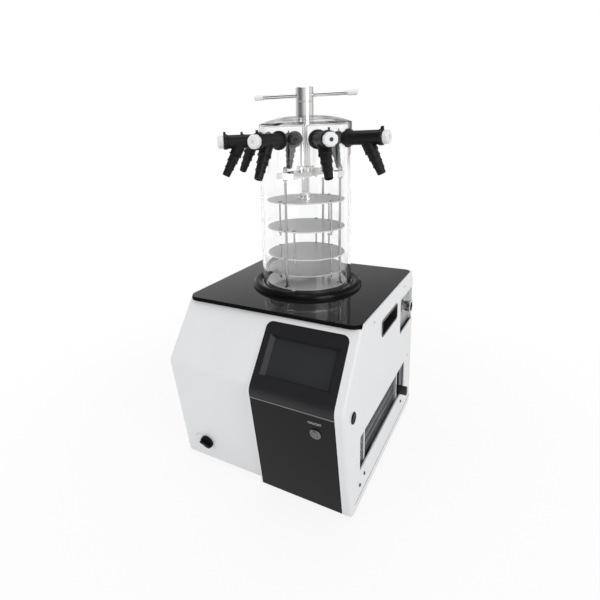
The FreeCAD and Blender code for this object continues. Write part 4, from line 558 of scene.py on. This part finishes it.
# A grey arc printed on the sheet beside the knob shows which way the cock turns.
LEFT_SLOPE = 54 / 280
LEFT_LEAN = math.atan(LEFT_SLOPE)
DRAIN_ALONG, DRAIN_Z = 0.0724, 0.065
ARC_INNER, ARC_OUTER, ARC_START, ARC_SWEEP = 0.0167, 0.0183, 65, 100
left_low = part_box("left_shell")[0]
front = PLATE_FRONT - JOINT_FRONT - (DRAIN_Z - CASE_FOOT) * LEFT_SLOPE
drain = Vector((left_low[0] + DRAIN_ALONG, front, DRAIN_Z))
arc_place = on_front(drain, LEFT_LEAN) @ Matrix.Translation((-0.019, -0.001, 0))
arc_place = arc_place @ Matrix.Rotation(math.radians(ARC_START), 4, "Z")
bm = bmesh.new()
spun(bm, [(ARC_INNER, 0), (ARC_OUTER, 0), (ARC_OUTER, THIN_LAYER), (ARC_INNER, THIN_LAYER)], arc_place,
     math.radians(ARC_SWEEP), 28)
add_piece("drain_arc", bm, label_ink, "cabinet")


# ---- Refrigeration -------------------------------------------------------------------------------
# The aluminium and copper condenser shows through the side vent, standing on the base pan. The fan,
# the enamelled compressor, the copper pipes and the trap's poured foam are behind it.
# The condenser body is coloured dark grey: painted shade of the inside of the case seen through the vent.
fin_metal_painted_shade = finish("fin_metal_painted_shade", (0.1, 0.1, 0.105), 0.45, 0.2, 0.1, 0.1, 200.0, (1.0, 1.0, 20.0),
                   metallic=0.7)
black_enamel = finish("black_enamel", (0.02, 0.02, 0.022), 0.22, 0.1, 0.06, 0.08, 500.0)
copper = finish("drawn_copper", (0.7, 0.36, 0.22), 0.28, 0.12, 0.1, 0.05, 200.0, metallic=1.0)
foam = finish("poured_foam", (0.72, 0.64, 0.42), 0.8, 0.1, 0.1, 0.5, 300.0)
dress(fin_metal_painted_shade, "condenser")
dress(black_enamel, "compressor", "fan_motor")
dress(black_moulding, "fan_blades")
dress(copper, "refrigerant_pipes")
dress(foam, "trap_insulation")

# Thin upright fins, the tube rows that run through them, bright end plates and a rail across the fins.
# All of them are pressed or drawn from thin aluminium and galvanised sheet.
CORE_X = CASE_RIGHT - 0.0123
CORE_FRONT, CORE_REAR = PLATE_FRONT + 0.042, PLATE_FRONT + 0.328
CORE_LOW, CORE_TOP = 0.034, 0.19
FIN_PITCH, FIN_PROUD, FIN_THICK, END_GAP = 0.0034, 0.003, 0.0005, 0.006
fin_edge = finish("fin_edge", (0.34, 0.345, 0.35), 0.4, 0.3, 0.1, 0.1, 120.0, (1.0, 6.0, 30.0),
                  metallic=0.8)
bright_sheet = finish("bright_sheet", (0.7, 0.71, 0.72), 0.35, 0.1, 0.08, 0.08, 200.0, metallic=0.5)
bm = bmesh.new()
for step in range(int((CORE_REAR - CORE_FRONT - 2 * END_GAP) / FIN_PITCH)):
    along = CORE_FRONT + END_GAP + step * FIN_PITCH
    beam(bm, (CORE_X, along, CORE_LOW), (CORE_X + FIN_PROUD, along + FIN_THICK, CORE_TOP))
add_piece("condenser_fins", bm, fin_edge, "cabinet")

bm = bmesh.new()
TUBE_RADIUS, ROWS, FIRST_ROW, ROW_PITCH = 0.0038, 7, 0.016, 0.0208
half = (CORE_REAR - CORE_FRONT) / 2 + END_GAP
for row in range(ROWS):
    level = CORE_LOW + FIRST_ROW + row * ROW_PITCH
    lying = Matrix.Translation((CORE_X - 0.001, (CORE_FRONT + CORE_REAR) / 2, level))
    lying = lying @ Matrix.Rotation(math.pi / 2, 4, "X")
    spun(bm, [(0, -half), (TUBE_RADIUS, -half), (TUBE_RADIUS, half), (0, half)], lying, steps=12)
add_piece("condenser_tubes", bm, fin_edge, "cabinet")

bm = bmesh.new()
PLATE_BACK, PLATE_FACE, PLATE_OUT, PLATE_IN, PLATE_OVER = 0.004, 0.0075, 0.0024, 0.0046, 0.003
RAIL_BACK, RAIL_FACE, RAIL_START, RAIL_LOW, RAIL_TOP = 0.001, 0.0065, 0.07, 0.064, 0.081
SHEET_EASE = 0.0006
for near, far in ((CORE_FRONT - PLATE_OUT, CORE_FRONT + PLATE_IN),
                  (CORE_REAR - PLATE_IN, CORE_REAR + PLATE_OUT)):
    beam(bm, (CORE_X - PLATE_BACK, near, CORE_LOW - PLATE_OVER),
         (CORE_X + PLATE_FACE, far, CORE_TOP + PLATE_OVER), ease=SHEET_EASE)
beam(bm, (CORE_X + RAIL_BACK, CORE_FRONT + RAIL_START, RAIL_LOW),
     (CORE_X + RAIL_FACE, CORE_REAR - END_GAP, RAIL_TOP), ease=SHEET_EASE)
add_piece("condenser_edges", bm, bright_sheet, "cabinet")


# ---- Cold trap and its cover ---------------------------------------------------------------------
# A drawn and polished stainless pot with its steel cover, its flange lying inside the black rubber
# seal ring that rests on the plate.
cover_steel = finish("cover_steel", (0.8, 0.8, 0.795), 0.08, 0.06, 0.04, 0.03, 300.0, metallic=0.35)
dress(polished_steel, "cold_trap")
seal_rubber = finish("seal_rubber", (0.004, 0.004, 0.0042), 0.22, 0.1, 0.04, 0.05, 1100.0,
                     specular_ior_level=0.16)
dress(cover_steel, "trap_cover")
dress(seal_rubber, "seal_ring")


# ---- Chamber -------------------------------------------------------------------------------------
# A thick clear acrylic tube stands on a translucent silicone gasket, closed by a clear domed lid that
# is seated in its mouth.
def clear(name, colour, ior, haze, **shader):
    """A clear solid that lets lamp light through to what stands inside it."""
    material = finish(name, colour, haze, 0.01, 0.0, 0.0, 400.0, ior=ior, transmission_weight=1.0, **shader)
    tree = material.node_tree
    path = tree.nodes.new("ShaderNodeLightPath")
    open_air = tree.nodes.new("ShaderNodeBsdfTransparent")
    mix = tree.nodes.new("ShaderNodeMixShader")
    either = math_node(tree, "MAXIMUM", path.outputs["Is Shadow Ray"], path.outputs["Is Diffuse Ray"])
    tree.links.new(either, mix.inputs[0])
    tree.links.new(tree.nodes["Principled BSDF"].outputs[0], mix.inputs[1])
    tree.links.new(open_air.outputs[0], mix.inputs[2])
    tree.links.new(mix.outputs[0], tree.nodes["Material Output"].inputs[0])
    return material


acrylic = clear("clear_acrylic", (0.985, 0.99, 0.99), 1.2, 0.0, coat_weight=0.9, coat_roughness=0.0)
lid_acrylic = clear("lid_acrylic", (0.985, 0.99, 0.99), 1.08, 0.0, coat_weight=0.6, coat_roughness=0.0)
silicone = clear("clear_silicone", (0.85, 0.87, 0.87), 1.41, 0.25)
dress(acrylic, "chamber_tube")
dress(lid_acrylic, "chamber_lid")
dress(silicone, "chamber_gasket")


# ---- Manifold valves -----------------------------------------------------------------------------
# Eight moulded black rubber valves are pushed into holes round the tube, each with a white moulded
# knob that turns on its outer end.
white_moulding = finish("white_moulding", (0.84, 0.845, 0.85), 0.35, 0.02, 0.05, 0.05, 900.0)
cap_white = finish("cap_white", (0.7, 0.705, 0.71), 0.4, 0.02, 0.05, 0.05, 900.0)
dress(black_rubber, "valve_bodies")
dress(white_moulding, *[f"valve_knob_{number}" for number in range(1, 9)])

# A small disc sits in the middle of each knob. In the second knob it is black, painted shadow of the hole
# there; in the others it is white.
AXIS = box_middle("chamber_tube")
DIMPLE_FLOOR, SHADED_HOLE_KNOB = 0.2208, 2
DISC_FOOT, DISC_WIDE, DISC_RIM, DISC_TOP = -0.0002, 0.0045, 0.0002, 0.0006
for number in range(1, 9):
    knob = box_middle(f"valve_knob_{number}")
    outward = Vector((knob.x - AXIS.x, knob.y - AXIS.y, 0)).normalized()
    seat = Matrix.Translation(Vector((AXIS.x, AXIS.y, knob.z)) + outward * DIMPLE_FLOOR)
    seat = seat @ outward.to_track_quat("Z", "Y").to_matrix().to_4x4()
    bm = bmesh.new()
    spun(bm, [(0, DISC_FOOT), (DISC_WIDE, DISC_FOOT), (DISC_WIDE, DISC_RIM), (0.0036, DISC_TOP),
              (0, DISC_TOP)],
         seat, steps=24)
    disc_finish = screw_black_and_hole_shadow if number == SHADED_HOLE_KNOB else cap_white
    add_piece(f"knob_disc_{number}", bm, disc_finish, f"knob_{number}")


# ---- Press and rack ------------------------------------------------------------------------------
# Turned and brushed stainless steel: the handle and gland on the lid, the shaft and spindle below, the
# bridge on its tie rods, and the trays on their hanger pins.
cap_silicone = finish("cap_silicone", (0.85, 0.855, 0.86), 0.4, 0.02, 0.05, 0.05, 900.0)
tray_steel = finish("tray_steel", (0.66, 0.66, 0.655), 0.34, 0.04, 0.08, 0.06, 240.0, (1.0, 20.0, 1.0),
                    metallic=1.0)
rod_steel = finish("rod_steel", (0.38, 0.378, 0.37), 0.1, 0.06, 0.05, 0.06, 260.0, (1.0, 1.0, 30.0),
                   metallic=1.0)
shaft_steel = finish("shaft_steel", (0.72, 0.717, 0.705), 0.08, 0.06, 0.04, 0.06, 260.0, (1.0, 1.0, 30.0),
                     metallic=1.0)
dress(brushed_steel, "gland", "gland_nut", "handle_hub", "tee_bar")
dress(shaft_steel, "press_shaft", "press_screw", "bridge", "press_coupling")
dress(rod_steel, "upper_pins", "middle_pins", "lower_pins", "tie_rods", "dome_nuts")
dress(cap_silicone, "bar_caps")

# The spindle carries a trapezoidal thread, cut to the size of the plain spindle that it stands for.
low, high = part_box("press_screw")
SPINDLE_RADIUS, ROOT_RADIUS, ROOT_SUNK, PITCH = 0.01095, 0.0094, 0.0006, 0.005
NECK_LONG, NECK_RADIUS, BORE_RADIUS, BORE_DEEP = 0.006, 0.00595, 0.0067, 0.02
STEPS_A_TURN = 32
THREAD_LOW = low[2] + NECK_LONG
turns = int((high[2] - THREAD_LOW - 0.002) / PITCH)
upright = Matrix.Translation((AXIS.x, AXIS.y, THREAD_LOW))
length = high[2] - THREAD_LOW
sunk = ROOT_RADIUS - ROOT_SUNK
bm = bmesh.new()
spun(bm, [(0, -NECK_LONG), (NECK_RADIUS, -NECK_LONG), (NECK_RADIUS, 0), (ROOT_RADIUS, 0),
          (ROOT_RADIUS, length),
          (BORE_RADIUS, length), (BORE_RADIUS, length - BORE_DEEP), (0, length - BORE_DEEP)], upright)
spun(bm, [(sunk, 0.0002), (ROOT_RADIUS, 0.0002), (SPINDLE_RADIUS, 0.0012), (SPINDLE_RADIUS, 0.0022),
          (ROOT_RADIUS, 0.0032), (sunk, 0.0032)],
     upright, 2 * math.pi * turns, STEPS_A_TURN * turns, PITCH * turns)
spindle = add_piece("threaded_spindle", bm, shaft_steel, "screw")
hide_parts("press_screw")
dress(tray_steel, "press_plate", "shelf_2", "shelf_3", "shelf_4")
